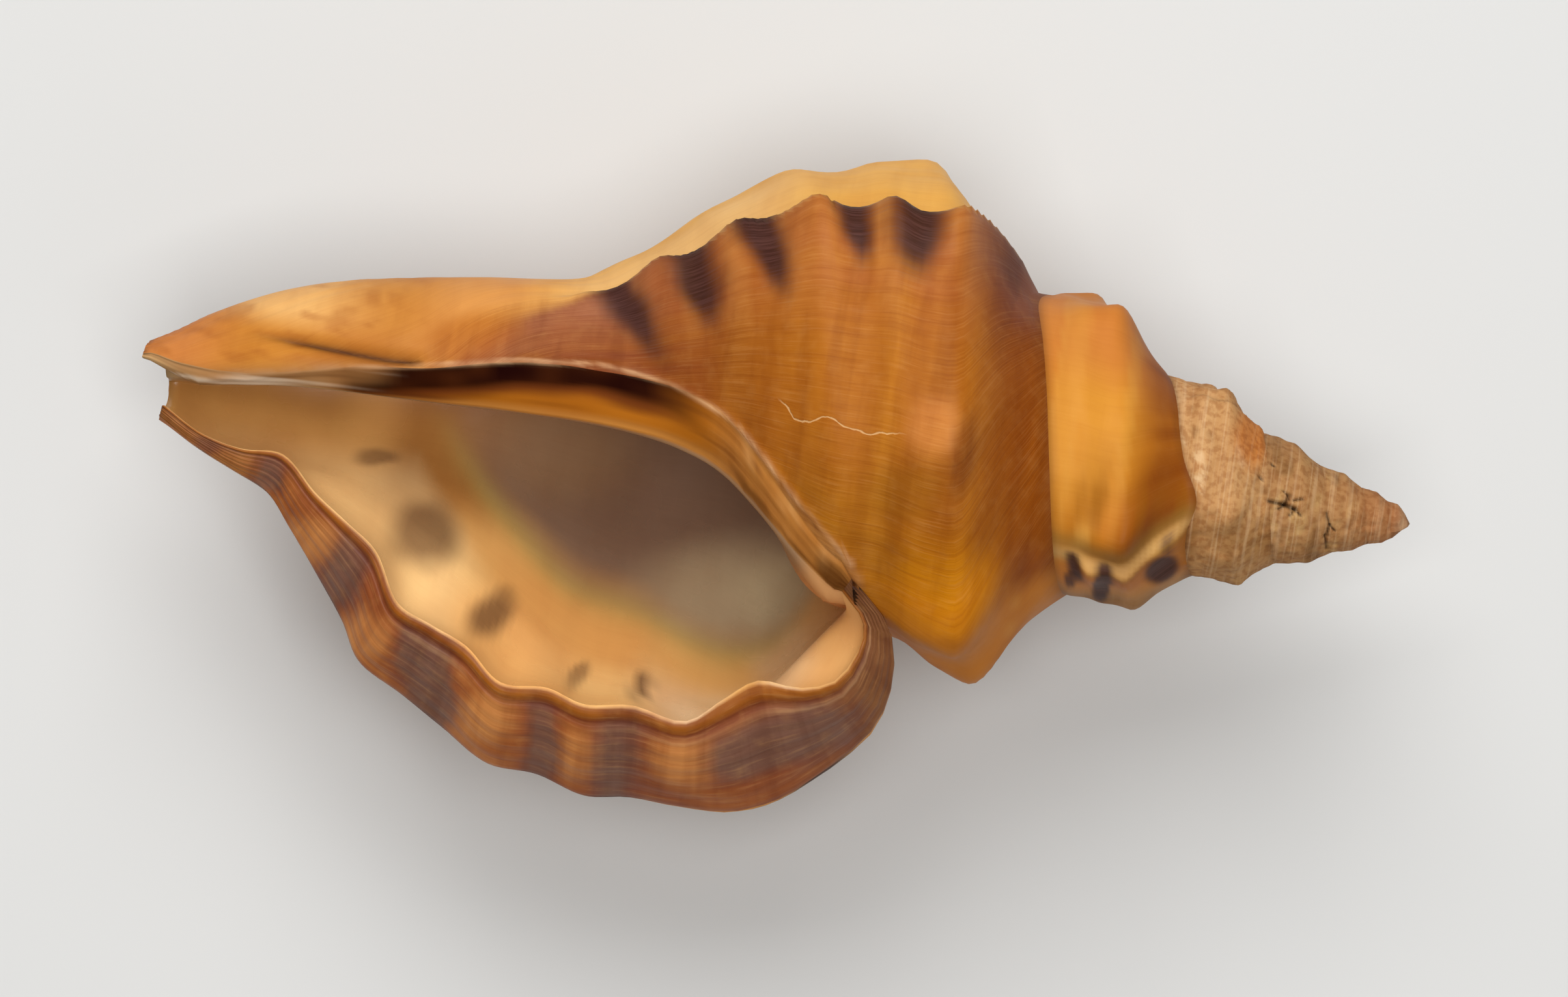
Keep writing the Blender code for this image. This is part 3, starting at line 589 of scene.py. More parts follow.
def shell_surface():
    """The closed surface of the wall: spire, last turn, lip, inner lip and the hollow up to its back."""
    surface = Surface()
    down = rows_down()
    early_angle, early = spire()
    angle, points, rim, edge = last_turn(down)
    ramp = slice(0, RAMP_ROWS + 1)
    to_lip = angle[-1] - angle
    strip = surface.grid(
        np.concatenate([early, points[:, ramp]]),
        part=OUTSIDE, angle=np.concatenate([early_angle, angle[:, ramp]]), down=down[ramp],
        to_lip=np.concatenate([np.full(early_angle.shape, NO_LIP), to_lip[:, ramp]]),
    )
    surface.join(strip[TURN_STEPS:, 0], strip[:-TURN_STEPS, RAMP_ROWS])
    surface.quads(strip)
    base = surface.grid(
        points[:, RAMP_ROWS:],
        part=OUTSIDE, angle=angle[:, RAMP_ROWS:], down=down[RAMP_ROWS:], to_lip=to_lip[:, RAMP_ROWS:],
    )
    surface.join(base[:, 0], strip[len(early):, RAMP_ROWS])
    surface.quads(base)

    apex = surface.grid(np.zeros((1, 3)), part=OUTSIDE, angle=FIRST_ANGLE, down=0.5, to_lip=NO_LIP)[0]
    surface.faces += [[apex, strip[k + 1, 0], strip[k, 0]] for k in range(TURN_STEPS)]
    surface.faces += [[apex, strip[0, row], strip[0, row + 1]] for row in range(RAMP_ROWS)]

    outer_angle, outer = outer_side(down, angle[-1], rim, edge)
    inner_angle, inner = inner_side(down[RAMP_ROWS:], points[0, RAMP_ROWS:])
    meet = fade(down[RAMP_ROWS:], 1.0, MEET_ROWS)[:, None]
    inner = inner + meet * (outer[:, :1] - inner[:, :1])
    steps = np.arange(len(outer))[:, None]
    along = length_along((rim + edge) / 2)
    outer_ids = surface.grid(
        outer, part=np.where(steps <= BAND_STEPS, BAND, WALL_INSIDE), angle=outer_angle, down=down,
        across=np.clip(steps / BAND_STEPS, 0, 1), to_lip=outer_angle[0] - outer_angle, along=along,
    )
    inner_ids = surface.grid(
        inner, part=np.where(steps <= CREST_STEPS, CREST_FACE, PILLAR), angle=inner_angle,
        down=down[RAMP_ROWS:], across=np.clip(steps / CREST_STEPS, 0, 1),
        to_lip=inner_angle[0] - inner_angle,
    )
    surface.join(outer_ids[0], np.concatenate([strip[-1], base[-1, 1:]]))
    surface.join(inner_ids[0], base[0])
    surface.join(inner_ids[:, 0], outer_ids[:, 0])
    surface.quads(outer_ids)
    surface.quads(inner_ids, flip=True)
    deep_inner = np.concatenate([np.full(RAMP_ROWS, outer_ids[-1, 0]), inner_ids[-1]])
    surface.quads(np.stack([outer_ids[-1], deep_inner]))
    outside_end = base[:, -1]
    inside_end = np.concatenate([inner_ids[:, -1], outer_ids[::-1, -1]])
    surface.quads(np.stack([outside_end, inside_end]))
    return surface


def hashed(i, j, seed):
    """A fixed pseudo-random number from 0 to 1 for each lattice point."""
    n = i.astype(np.int64) * 374761393 + j.astype(np.int64) * 668265263 + seed * 974634777
    n = ((n ^ (n >> 13)) * 1274126177) & 0xFFFFFFFF
    return ((n ^ (n >> 16)) & 0xFFFF) / 65535.0


def noise(u, v, seed):
    """Smooth noise from -1 to 1, with a new value each unit of u and of v."""
    i, j = np.floor(u), np.floor(v)
    s, t = u - i, v - j
    s, t = s * s * (3 - 2 * s), t * t * (3 - 2 * t)
    low = hashed(i, j, seed) * (1 - s) + hashed(i + 1, j, seed) * s
    high = hashed(i, j + 1, seed) * (1 - s) + hashed(i + 1, j + 1, seed) * s
    return 2 * (low * (1 - t) + high * t) - 1


def linear(code):
    """The linear colour of a code such as #c0732d."""
    parts = np.array([int(code[k:k + 2], 16) for k in (1, 3, 5)]) / 255
    return np.where(parts < 0.04045, parts / 12.92, ((parts + 0.055) / 1.055) ** 2.4)


def off_line(x, y, line):
    """Distance in plan from each point to a line of points."""
    nearest = np.full(np.shape(x), 1e9)
    for (ax, ay), (bx, by) in zip(line, line[1:]):
        length = max((bx - ax) ** 2 + (by - ay) ** 2, 1e-9)
        u = np.clip(((x - ax) * (bx - ax) + (y - ay) * (by - ay)) / length, 0, 1)
        nearest = np.minimum(nearest, np.hypot(x - ax - u * (bx - ax), y - ay - u * (by - ay)))
    return nearest


def blob(x, y, middle, half_x, half_y, turn=0.0):
    """1 at the middle of a soft oval, 0 outside it."""
    c, s = np.cos(np.radians(turn)), np.sin(np.radians(turn))
    u, v = x - middle[0], y - middle[1]
    return fade(np.hypot((u * c + v * s) / half_x, (v * c - u * s) / half_y), 0.45, 1.35)


class Places:
    """Where each corner lies on the shell, in all the ways that the relief and the colours need."""

    def __init__(self, surface):
        f = surface.fields
        self.x, self.y, self.z = surface.points.T
        self.angle, self.down, self.across = f["angle"], f["down"], f["across"]
        self.along, self.to_lip = f["along"], f["to_lip"]
        self.outside, self.band = f["part"] == OUTSIDE, f["part"] == BAND
        self.inside, self.crest = f["part"] == WALL_INSIDE, f["part"] == CREST_FACE
        self.pillar = f["part"] == PILLAR
        self.early = -self.angle
        self.reach = SPIRAL_APEX_X - self.x
        self.out = self.reach / plain_reach(self.angle)
        self.grown = grown_angle(self.angle, self.out)
        self.front = ease(self.z, *FRONT_HEIGHTS)
        self.shown = self.outside * self.front
        pace = np.log(WHORL_RATIO) / 360
        run = GIRTH_RADIUS * np.radians(1) / pace * WHORL_RATIO ** (self.grown / 360)
        run = np.where(self.outside, run, 0.0)
        run = np.where(self.band, BAND_RUN + BAND_WIDTH * self.across, run)
        run = np.where(self.inside, WALL_RUN + WALL_PACE * self.to_lip, run)
        run = np.where(self.crest, CREST_RUN + CREST_WIDTH * self.across, run)
        self.run = np.where(self.pillar, CREST_RUN + CREST_WIDTH + PILLAR_PACE * self.to_lip, run)
        self.pitch = np.where(self.band, BAND_PITCH + self.along, self.reach)
        self.size = WHORL_RATIO ** (np.minimum(self.angle, 0) / 360)
        self.cloud = noise(self.run / 11, self.pitch / 16, 21)
        self.streaks = noise(self.run / 2.2, self.pitch / 30, 22)

    def off(self, line):
        """Distance in plan from a line."""
        return off_line(self.x, self.y, line)

    def spot(self, *oval):
        """A soft oval: middle, half sizes and turn."""
        return blob(self.x, self.y, *oval)


def band_relief(p):
    """The lip's band: its ridges, its rolled rim, and its dips at the dark bars."""
    waver = 1.3 * noise(p.along / 6, p.across * 2, 4)
    height = p.band * BAND_RIDGE * np.sin(2 * np.pi * p.across * BAND_WIDTH / BAND_RIDGE_STEP + waver)
    height = height + p.band * BAND_ROUGH * noise(p.across * 9, p.along / 4, 5)
    roll = RIM_ROLL * bell(p.across - RIM_ROLL_AT, 0.06) - RIM_ROLL * bell(p.across - RIM_GROOVE_AT, 0.025)
    height = height + p.band * roll
    return height - p.band * BAR_DIP * lip_bars(p) * bell(p.across - 0.4, 0.3)


def fine_relief(p):
    """Height of the fine relief at each corner, in millimetres."""
    ripple = noise(p.run / RIPPLE_STEP + 0.4 * noise(p.run / 9, p.pitch / 6, 3), p.pitch / 13, 1)
    height = p.outside * RIPPLE * ripple * p.size
    folds = noise(p.run / (FOLD_STEP * p.size), p.pitch / (30 * p.size), 2)
    height = height + p.outside * ease(p.early, 330, 420) * FOLD * folds * p.size
    height = height + band_relief(p)
    at_edge = p.front * (p.outside | p.crest)
    rough = 0.75 + 0.45 * noise(p.x / 1.4, p.y / 1.4, 6)
    height = height + at_edge * CALLUS_RIDGE * rough * bell(p.off(CALLUS_EDGE), CALLUS_RIDGE_HALF)
    taper = ease(p.x, -121, -112) * fade(p.x, -103.5, -101)
    groove = at_edge * p.outside * (GROOVE + GROOVE_DEEPER * taper) * bell(p.off(FISSURE), GROOVE_HALF)
    height = height - groove * ease(p.x, -124, -119) * fade(p.x, -103, -100)
    fibres = p.front * ease(-p.x, 103, 107) * bell(p.off(FIBRES), FIBRE_HALF)
    height = height + fibres * (FIBRE + FIBRE_ROUGH * noise(p.y / 0.5 - p.x / 22, p.x / 9, 7))
    for start, stop, half, depth in SPIRE_CRACKS:
        height = height - p.shown * depth * fade(p.off([start, stop]), 0, 2 * half)
    height = height + p.crest * CREST_WAVE * noise(p.across * 5, p.x / 5, 8)
    height = height + p.crest * ease(p.x, -76, -70) * CREST_PIT * noise(p.x / 0.9, p.y / 0.9, 10)
    return height + p.outside * (p.angle < -600) * SPIRE_ROUGH * noise(p.x / 0.9, p.y / 0.9 + p.z / 0.9, 9)


def varix_bars(p):
    """The dark bars that cross the varices. The varix in front has bars of its own."""
    bars = np.zeros_like(p.x)
    wobble = noise(p.run / 5, p.pitch / 3, 11)
    for varix, _ in VARICES[1:3]:
        since = p.grown - varix
        for out, half, strength in VARIX_BARS:
            across = bell(p.out - out + 0.012 * wobble, half)
            bars = np.maximum(bars, strength * across * ease(since, -24, -7) * fade(since, 2, 7))
    before_crest = (p.grown < 64.5) & (p.angle > -60)
    for (x, y), half, length, slope, strength in FRONT_BARS:
        widened = half * (0.8 + 0.5 * ease(p.y - y, -7, 0))
        reached = bell(p.x - x - slope * (y - p.y) + 0.5 * wobble, widened)
        fades = ease(p.y - y, -length, -0.3 * length)
        bars = np.maximum(bars, strength * reached * fades * before_crest)
    for *oval, strength in EARLY_BARS:
        bars = np.maximum(bars, strength * p.front * (p.x > -36) * p.spot(*oval))
    return bars * p.outside


def lip_bars(p):
    """The dark bars across the lip's band, and their blurred ends on the outside behind it."""
    bars, spread = np.zeros_like(p.x), np.zeros_like(p.x)
    wobble = 0.8 * noise(p.along / 2.2, p.across * 3, 12)
    for start, end, half, strength in LIP_BARS:
        away = p.off([start, end]) + wobble
        bars = np.maximum(bars, strength * fade(away, 0.3 * half, 1.65 * half))
        spread = np.maximum(spread, strength * bell(p.x - end[0] + 0.06 * p.to_lip, 1.1 * half))
    return np.where(p.band, bars, p.outside * fade(p.to_lip, 0, 30) * spread)


def past_crest(p):
    """How far past the crest of the varix in front, which blurs out towards the canal."""
    blur = 11 * ease(-p.x, 82, 96) + 2.5 * fade(p.out, 1, 1.2)
    return ease(p.grown, 61.5 - 1.6 * blur, 64 + 0.4 * blur)


def paint_body(p, coat):
    """The last turn, up to the crest of the varix in front."""
    body = p.outside * ease(p.angle, -70, -44) * (1 - past_crest(p))
    front = body * p.front
    bands = noise(p.pitch / 2.3, p.run / 70, 24) + 0.5 * noise(p.pitch / 0.9, p.run / 50, 25)
    risen = ease(p.grown, 22, 58)
    coat("#a6621a", body)
    coat("#a8650c", front * fade(p.y, -13, -1) * (0.9 + 0.3 * p.cloud))
    coat("#c07c26", front * ease(bands, 0.1, 0.9) * 0.45)
    coat("#8a470f", front * ease(-bands, 0.1, 0.9) * 0.4)
    coat("#7d3e1c", front * fade(p.x, -78, -64) * ease(p.y, -6, 3) * (0.85 + 0.2 * p.streaks))
    coat("#a45c29", body * risen * (0.75 + 0.25 * p.streaks - 0.3 * bands))
    coat("#8e5a44", body * risen * ease(-p.x, 74, 86) * 0.65)
    coat("#c58442", body * risen * ease(-noise(p.x / 2.6 + 0.1 * p.y, 0.0, 30), 0, 0.8) * 0.45)
    ramp = body * fade(p.out, 1.07, 1.2)
    coat("#8a450a", ramp * 0.9)
    coat("#6d2c14", ramp * ease(p.grown, 5, 50) * 0.9)
    coat("#8a4a12", ramp * ease(p.y, 9, 14) * (0.75 + 0.3 * p.streaks))
    coat("#6e3016", ramp * p.spot((-42.5, 17), 2.6, 5, 20) * 0.6)
    beyond = front * fade(p.y + 0.35 * abs(p.x + 45), -19, -17.5) * (p.x > -53)
    coat("#6c3610", beyond * 0.9)
    coat("#c57a0e", front * p.spot((-45.5, -15), 6.5, 6) * (1 - beyond) * 0.85)
    # Among these are a painted highlight on the front knob and the painted shade beside it.
    for code, *oval, strength in BODY_SPOTS_AND_KNOB_LIGHT:
        coat(code, front * p.spot(*oval) * strength)


def paint_strip(p, coat):
    """The pale turn past the crest of the varix in front, round the back, and the canal's outside."""
    pale = p.outside * past_crest(p) * (p.angle > CORNER_ANGLE)
    coat("#dea44c", pale)
    coat("#e6b878", pale * p.front * ease(-p.x, 62, 72) * fade(-p.x, 84, 94) * 0.7)
    coat("#c8803a", pale * ease(p.grown, 110, 200) * (0.75 + 0.3 * p.cloud))
    coat("#cf8d48", pale * ease(p.reach, 88, 98))
    coat("#e0ae6a", pale * fade(p.out, 1, 1.2) * 0.4)
    canal = p.outside * ease(-p.x, 98, 106)
    coat("#bc7829", canal * (0.9 + 0.1 * p.cloud))
    coat("#ecb872", canal * bell(p.x + 117, 8) * ease(p.y, 2, 5) * 0.8)
    coat("#c87c40", canal * ease(-p.x, 119, 127) * 0.85)
    mottled = noise(p.x / 3, p.y / 1.1, 33) + 0.6 * noise(p.x / 1.1, p.y / 0.7, 34)
    coat("#9c5620", canal * p.front * ease(mottled, 0.1, 1) * 0.4)
    coat("#a85c14", p.shown * p.spot((-97.5, 4.5), 5.5, 2.6, 25) * 0.7)
    coat("#a9662a", canal * bell(p.off(CANAL_FOLD), 2.5) * 0.5)
    # Painted shadow along the fissure's groove, strongest where the groove is deepest
    painted_groove_shade = ease(-p.x, 100.5, 103) * fade(-p.x, 112, 121) * 0.9
    coat("#33170d", p.shown * bell(p.off(FISSURE), 0.4) * painted_groove_shade)


def paint_second(p, coat, bands):
    """The turn before the last, and the varix at its start."""
    second = p.outside * ease(p.early, 44, 62) * fade(p.early, 395, 425)
    shown = second * p.front * (p.x > -42)
    coat("#b9701c", second)
    coat("#cc8a30", shown * p.spot((-34, 4), 5, 10) * 0.9)
    coat("#c47a36", shown * ease(p.y, 7, 13) * 0.8)
    coat("#cf9440", shown * ease(bands, 0.2, 1) * 0.35)
    coat("#84440f", shown * ease(p.x + 0.25 * abs(p.y - 4), -29, -25.5) * (0.8 + 0.25 * p.streaks))
    coat("#8f560c", shown * bell(p.y + 3.4, 3.6) * ease(-bands, -0.4, 0.6) * 0.7)
    coat("#dba24a", shown * bell(p.y + 6.4, 1.6) * ease(noise(p.pitch / 2, 0.0, 27), -0.3, 0.6) * 0.8)
    old_varix = p.outside * (p.angle < CORNER_ANGLE) * (p.angle > -470) * p.front
    coat("#86672f", old_varix * bell(p.grown + 392, 5) * 0.55)
    coat("#c09a5e", old_varix * bell(p.grown + 398.5, 4) * 0.75)
    coat("#b5702c", old_varix * ease(-p.grown, 402, 408) * fade(-p.grown, 440, 460) * 0.8)


def paint_spire(p, coat):
    """The turns before the last, each more worn than the next."""
    bands = noise(p.pitch / 0.8, p.run / 60, 26) + 0.5 * noise(p.pitch / 2.1, p.run / 60, 27)
    patches = 0.6 * noise(p.x / 2.3, p.y / 3.3, 28) + 0.7 * noise(p.x / 0.8, p.y / 1.2, 29)
    paint_second(p, coat, bands)
    third = p.outside * ease(p.early, 415, 445) * fade(p.early, 740, 800)
    shown = third * p.front
    flakes = shown * ease(p.y, -3, 0) * fade(p.y, 8, 11) * ease(patches + 0.5 * bands, 0.35, 0.8)
    coat("#b88a58", p.outside * ease(p.early, 415, 445))
    coat("#c08a54", third * ease(bands, -0.2, 0.8) * 0.6)
    coat("#855c30", shown * fade(p.y, -5, 0) * (0.75 + 0.3 * bands))
    coat("#e4c89c", flakes * 0.6)
    coat("#bf6f28", shown * p.spot((-17, 6.5), 2.2, 3.5) * 0.75)
    coat("#d0a673", shown * ease(p.y, 0, 5) * ease(bands, -0.6, 0.6) * 0.5)
    coat("#6d4522", shown * ease(-patches, 0.45, 1) * 0.5)
    worn = p.outside * ease(p.early, 760, 830)
    coat("#a3774a", worn)
    coat("#7d5832", worn * ease(patches, 0, 0.7) * 0.7)
    coat("#b9955f", worn * ease(-patches, 0.2, 0.8) * 0.5)
    coat("#a06a42", worn * ease(p.x, -9, -1) * 0.8)
    coat("#bb9a78", worn * ease(p.x, -2, -0.6) * 0.6)
    at_suture = p.outside * (bell(p.down, 0.04) + bell(p.down - 1, 0.04) * (p.angle < CORNER_ANGLE))
    coat("#5c3214", at_suture * (0.5 - 0.3 * ease(p.early, 760, 830)))
    for start, stop, half, _ in SPIRE_CRACKS:
        coat("#2c1a0c", p.shown * fade(p.off([start, stop]), 0.3 * half, 1.4 * half) * 0.85)


def paint_lip(p, coat):
    """The lip's band, with its pale bumps (partly painted highlight), its dark bars and its rolled rim."""
    band = p.band * 1.0
    streaks = noise(p.across * 10, p.along / 7, 31)
    cloud = noise(p.across * 2, p.along / 6, 32)
    coat("#9a5626", band)
    coat("#b8743a", band * ease(streaks + 0.7 * cloud, 0, 1.2) * 0.8)
    coat("#7d3f22", band * ease(-cloud, 0, 0.9) * 0.6)
    # Pale bumps: the band's own paler orange, with a painted highlight on the bulges between the bars
    for middle in LIP_PALE_AND_LIT_BUMPS:
        coat("#c68447", band * p.spot(middle, 3.6, 2.6) * 0.75)
    coat("#6b4428", band * fade(p.along, 12, 26) * 0.85)
    coat("#9c6532", band * ease(-p.x, 112, 120) * 0.8)
    bars = lip_bars(p) * band
    coat("#6b3830", bars * 0.9)
    coat("#745343", ease(bars, 0.45, 0.95) * (1 - ease(p.across, 0.5, 0.9) * 0.3) * 0.85)
    roll = band * ease(p.across, 0.82, 0.89)
    coat("#96550f", roll * (0.85 + 0.15 * cloud))
    coat("#6b2f14", roll * ease(bars, 0.3, 0.9) * 0.45)
    coat("#571f10", band * bell(p.across - RIM_GROOVE_AT, 0.028) * (0.75 + 0.3 * cloud))
    coat("#d3a578", band * bell(p.across - 0.765, 0.02) * ease(streaks, -0.4, 0.5) * 0.5)
    coat("#8a4a14", band * ease(p.across, 0.965, 0.99) * 0.6)


def paint_inside(p, coat):
    """The glossy inside of the lip, the darker wall deep inside it, and the pillar."""
    wall = (p.inside | (p.band & (p.across > 0.985))) * 1.0
    soft = noise(p.x / 6, p.y / 6, 41)
    inward = p.y - curve(p.x, DEEP_LINE) + 0.4 * soft
    left = ease(p.x - 0.6 * (p.y + 8), -105, -90)
    corner = ease(p.x - 0.35 * (p.y + 16), -61, -57.5)
    deep = wall * ease(inward, -1.5, 4) * left * (1 - corner)
    coat("#f0b468", wall)
    # Partly the glaze's own cream and partly painted light: the cream near the rim is made lighter where
    # the rim shades it
    coat("#ffca80", wall * fade(inward, -9, -5) * ease(p.x, -106, -98) * 0.85)
    coat("#e89c50", wall * ease(0.6 * soft + 0.4, 0.2, 0.8) * 0.45)
    coat("#ecb46a", wall * ease(-p.x, 96, 106) * 0.7)
    coat("#96662e", wall * ease(-p.x, 100, 112) * ease(p.y, -10, -4) * 0.85)
    shaded = ease(-p.x + 0.5 * p.y, 78, 88) * fade(-p.x, 101, 108)
    coat("#97602a", wall * shaded * ease(p.y, -17, -10) * 0.85)
    coat("#dca668", wall * corner * 0.7)
    # Painted light: a near-white wash on the lip's inside near its lower rim, and a weaker one on the
    # shaded side of the crease in the corner
    painted_light_band = ease(p.x, -78, -68) * fade(p.x, -62, -59)
    coat("#fff0cc", wall * fade(inward, -7, -3) * painted_light_band * 0.55)
    coat("#fff0cc", wall * p.spot((-61.5, -22.5), 3.5, 4, 40) * 0.25)
    # Partly painted light: lighter cream near the rim, where the rim shades it
    coat("#f6d49a", wall * fade(inward, -8, -4) * ease(-p.x, 92, 97) * 0.4)
    coat("#b9a25c", wall * bell(inward - 0.4, 2) * left * (1 - corner) * 0.65)
    coat("#8e705a", deep)
    # The pale spots in the corner among these are painted light.
    for code, *oval, strength in DEEP_SPOTS_AND_CORNER_LIGHT:
        coat(code, deep * p.spot(*oval) * strength)
    wavering = p.x + 0.5 * soft, p.y + 0.4 * noise(p.x / 2, p.y / 2, 42)
    for *oval, strength in INSIDE_SPOTS:
        coat("#66432c", wall * blob(*wavering, *oval) * strength)
    coat("#a58362", p.pillar * 1.0)
    coat("#dfa468", p.pillar * p.spot((-57.5, -16), 4, 5) * 0.9)
    coat("#a98a62", p.pillar * ease(-p.x, 92, 110))


def paint_columella(p, coat):
    """The inner lip: its callus, the dark streak along its crest, and its pale edge and fibres."""
    fibres = noise(p.across * 8, p.x / 8, 51)
    spots = noise(p.x / 1.3, p.y / 1.3, 52)
    off_edge = curve(p.x, CALLUS_EDGE) - p.y
    lower = ease(p.x, -73, -68)
    over = p.shown * ease(off_edge, 0.1, 0.5) * (p.x < -54.5) * (p.x > -76) * (p.grown < 61)
    callus = np.maximum((p.crest | (p.pillar & (p.across < 0.02))) * 1.0, over)
    coat("#9f5c16", callus)
    coat("#b47636", callus * lower)
    coat("#7b4514", callus * ease(fibres, 0.2, 0.9) * 0.45)
    coat("#cc9456", callus * ease(spots, 0.1, 0.9) * lower * 0.6)
    coat("#6e3d20", callus * ease(-spots + 0.4 * fibres, 0.3, 1) * lower * 0.5)
    coat("#c98d48", callus * ease(p.across, 0.75, 1) * 0.5)
    streak = callus * (ease(p.x, -112, -107) * fade(p.x, -79, -71))
    coat("#5e2c12", streak * fade(off_edge + 0.4 * fibres, 2.8, 4) * 0.9)
    uneven = 0.9 + 0.15 * noise(p.x / 2.4, p.y / 2, 53)
    coat("#1c0705", streak * fade(off_edge + 0.15 * fibres, 1.9, 3.1) * uneven)
    coat("#3f1c0a", callus * blob(p.x + 0.4 * spots, p.y + 0.4 * fibres, (-60.6, -13.9), 3.2, 1, -52) * 0.9)
    coat("#5a3212", callus * blob(p.x + 0.5 * spots, p.y, (-57.3, -14.2), 2.4, 1.3, -50) * 0.75)
    coat("#6b3f1a", callus * blob(p.x, p.y + 0.5 * spots, (-66.5, -7.2), 3.5, 0.5, -45) * 0.6)
    coat("#bb9568", callus * ease(-p.x, 108, 113) * 0.75)
    coat("#cfa672", callus * ease(-p.x, 108, 116) * ease(p.across, 0.3, 0.7) * 0.8)
    edge = p.front * bell(p.off(CALLUS_EDGE), 0.24) * (p.outside | p.crest)
    coat("#cfa276", edge * (0.5 + 0.4 * spots))
    bundle = p.front * (p.outside | p.crest) * bell(p.off(FIBRES), 1.2) * ease(-p.x, 103, 108)
    coat("#8f6238", bundle * 0.8)
    coat("#e2cbb0", bundle * ease(noise(p.y / 0.45 - p.x / 22, p.x / 9, 7), 0.1, 0.9) * 0.8)


class Nodes:
    """Adds nodes to a material, in front of the surface that it starts with."""

    def __init__(self, material):
        material.use_nodes = True
        self.tree = material.node_tree
        self.surface = self.tree.nodes["Principled BSDF"]

    def feed(self, value, socket):
        """Gives a socket another node's output, the colour of a code, or a plain value."""
        if isinstance(value, bpy.types.NodeSocket):
            self.tree.links.new(value, socket)
        elif isinstance(value, str):
            socket.default_value = (*linear(value), 1.0)
        else:
            socket.default_value = value

    def add(self, kind, inputs=None, **settings):
        made = self.tree.nodes.new("ShaderNode" + kind)
        for name, value in settings.items():
            setattr(made, name, value)
        for key, value in (inputs or {}).items():
            self.feed(value, made.inputs[key])
        return made

    def field(self, name, output="Fac"):
        return self.add("Attribute", attribute_name=name).outputs[output]

    def maths(self, operation, a, b=0.0):
        return self.add("Math", {0: a, 1: b}, operation=operation).outputs[0]

    def plus(self, a, b):
        return self.maths("ADD", a, b)

    def minus(self, a, b):
        return self.maths("SUBTRACT", a, b)

    def times(self, a, b):
        return self.maths("MULTIPLY", a, b)

    def ranged(self, value, low, high, to_low=0.0, to_high=1.0):
        """The value eased from one range to another."""
        inputs = {0: value, 1: low, 2: high, 3: to_low, 4: to_high}
        return self.add("MapRange", inputs, interpolation_type="SMOOTHSTEP").outputs[0]

    def mixed(self, amount, a, b, blend="MIX"):
        inputs = {0: amount, 6: a, 7: b}
        return self.add("Mix", inputs, data_type="RGBA", blend_type=blend).outputs[2]

    def noise(self, place, scale, detail, distortion=0.0):
        inputs = {"Vector": place, "Scale": scale, "Detail": detail, "Distortion": distortion}
        return self.add("TexNoise", inputs).outputs["Fac"]

    def flow(self, grown, along_run, along_pitch, detail=3.0, distortion=0.0):
        """Noise in the shell's own growth: values a millimetre along the growth and along the axis."""
        x, y = self.times(grown[0], along_run), self.times(grown[1], along_pitch)
        place = self.add("CombineXYZ", {"X": x, "Y": y}).outputs[0]
        return self.noise(place, 1.0, detail, distortion)


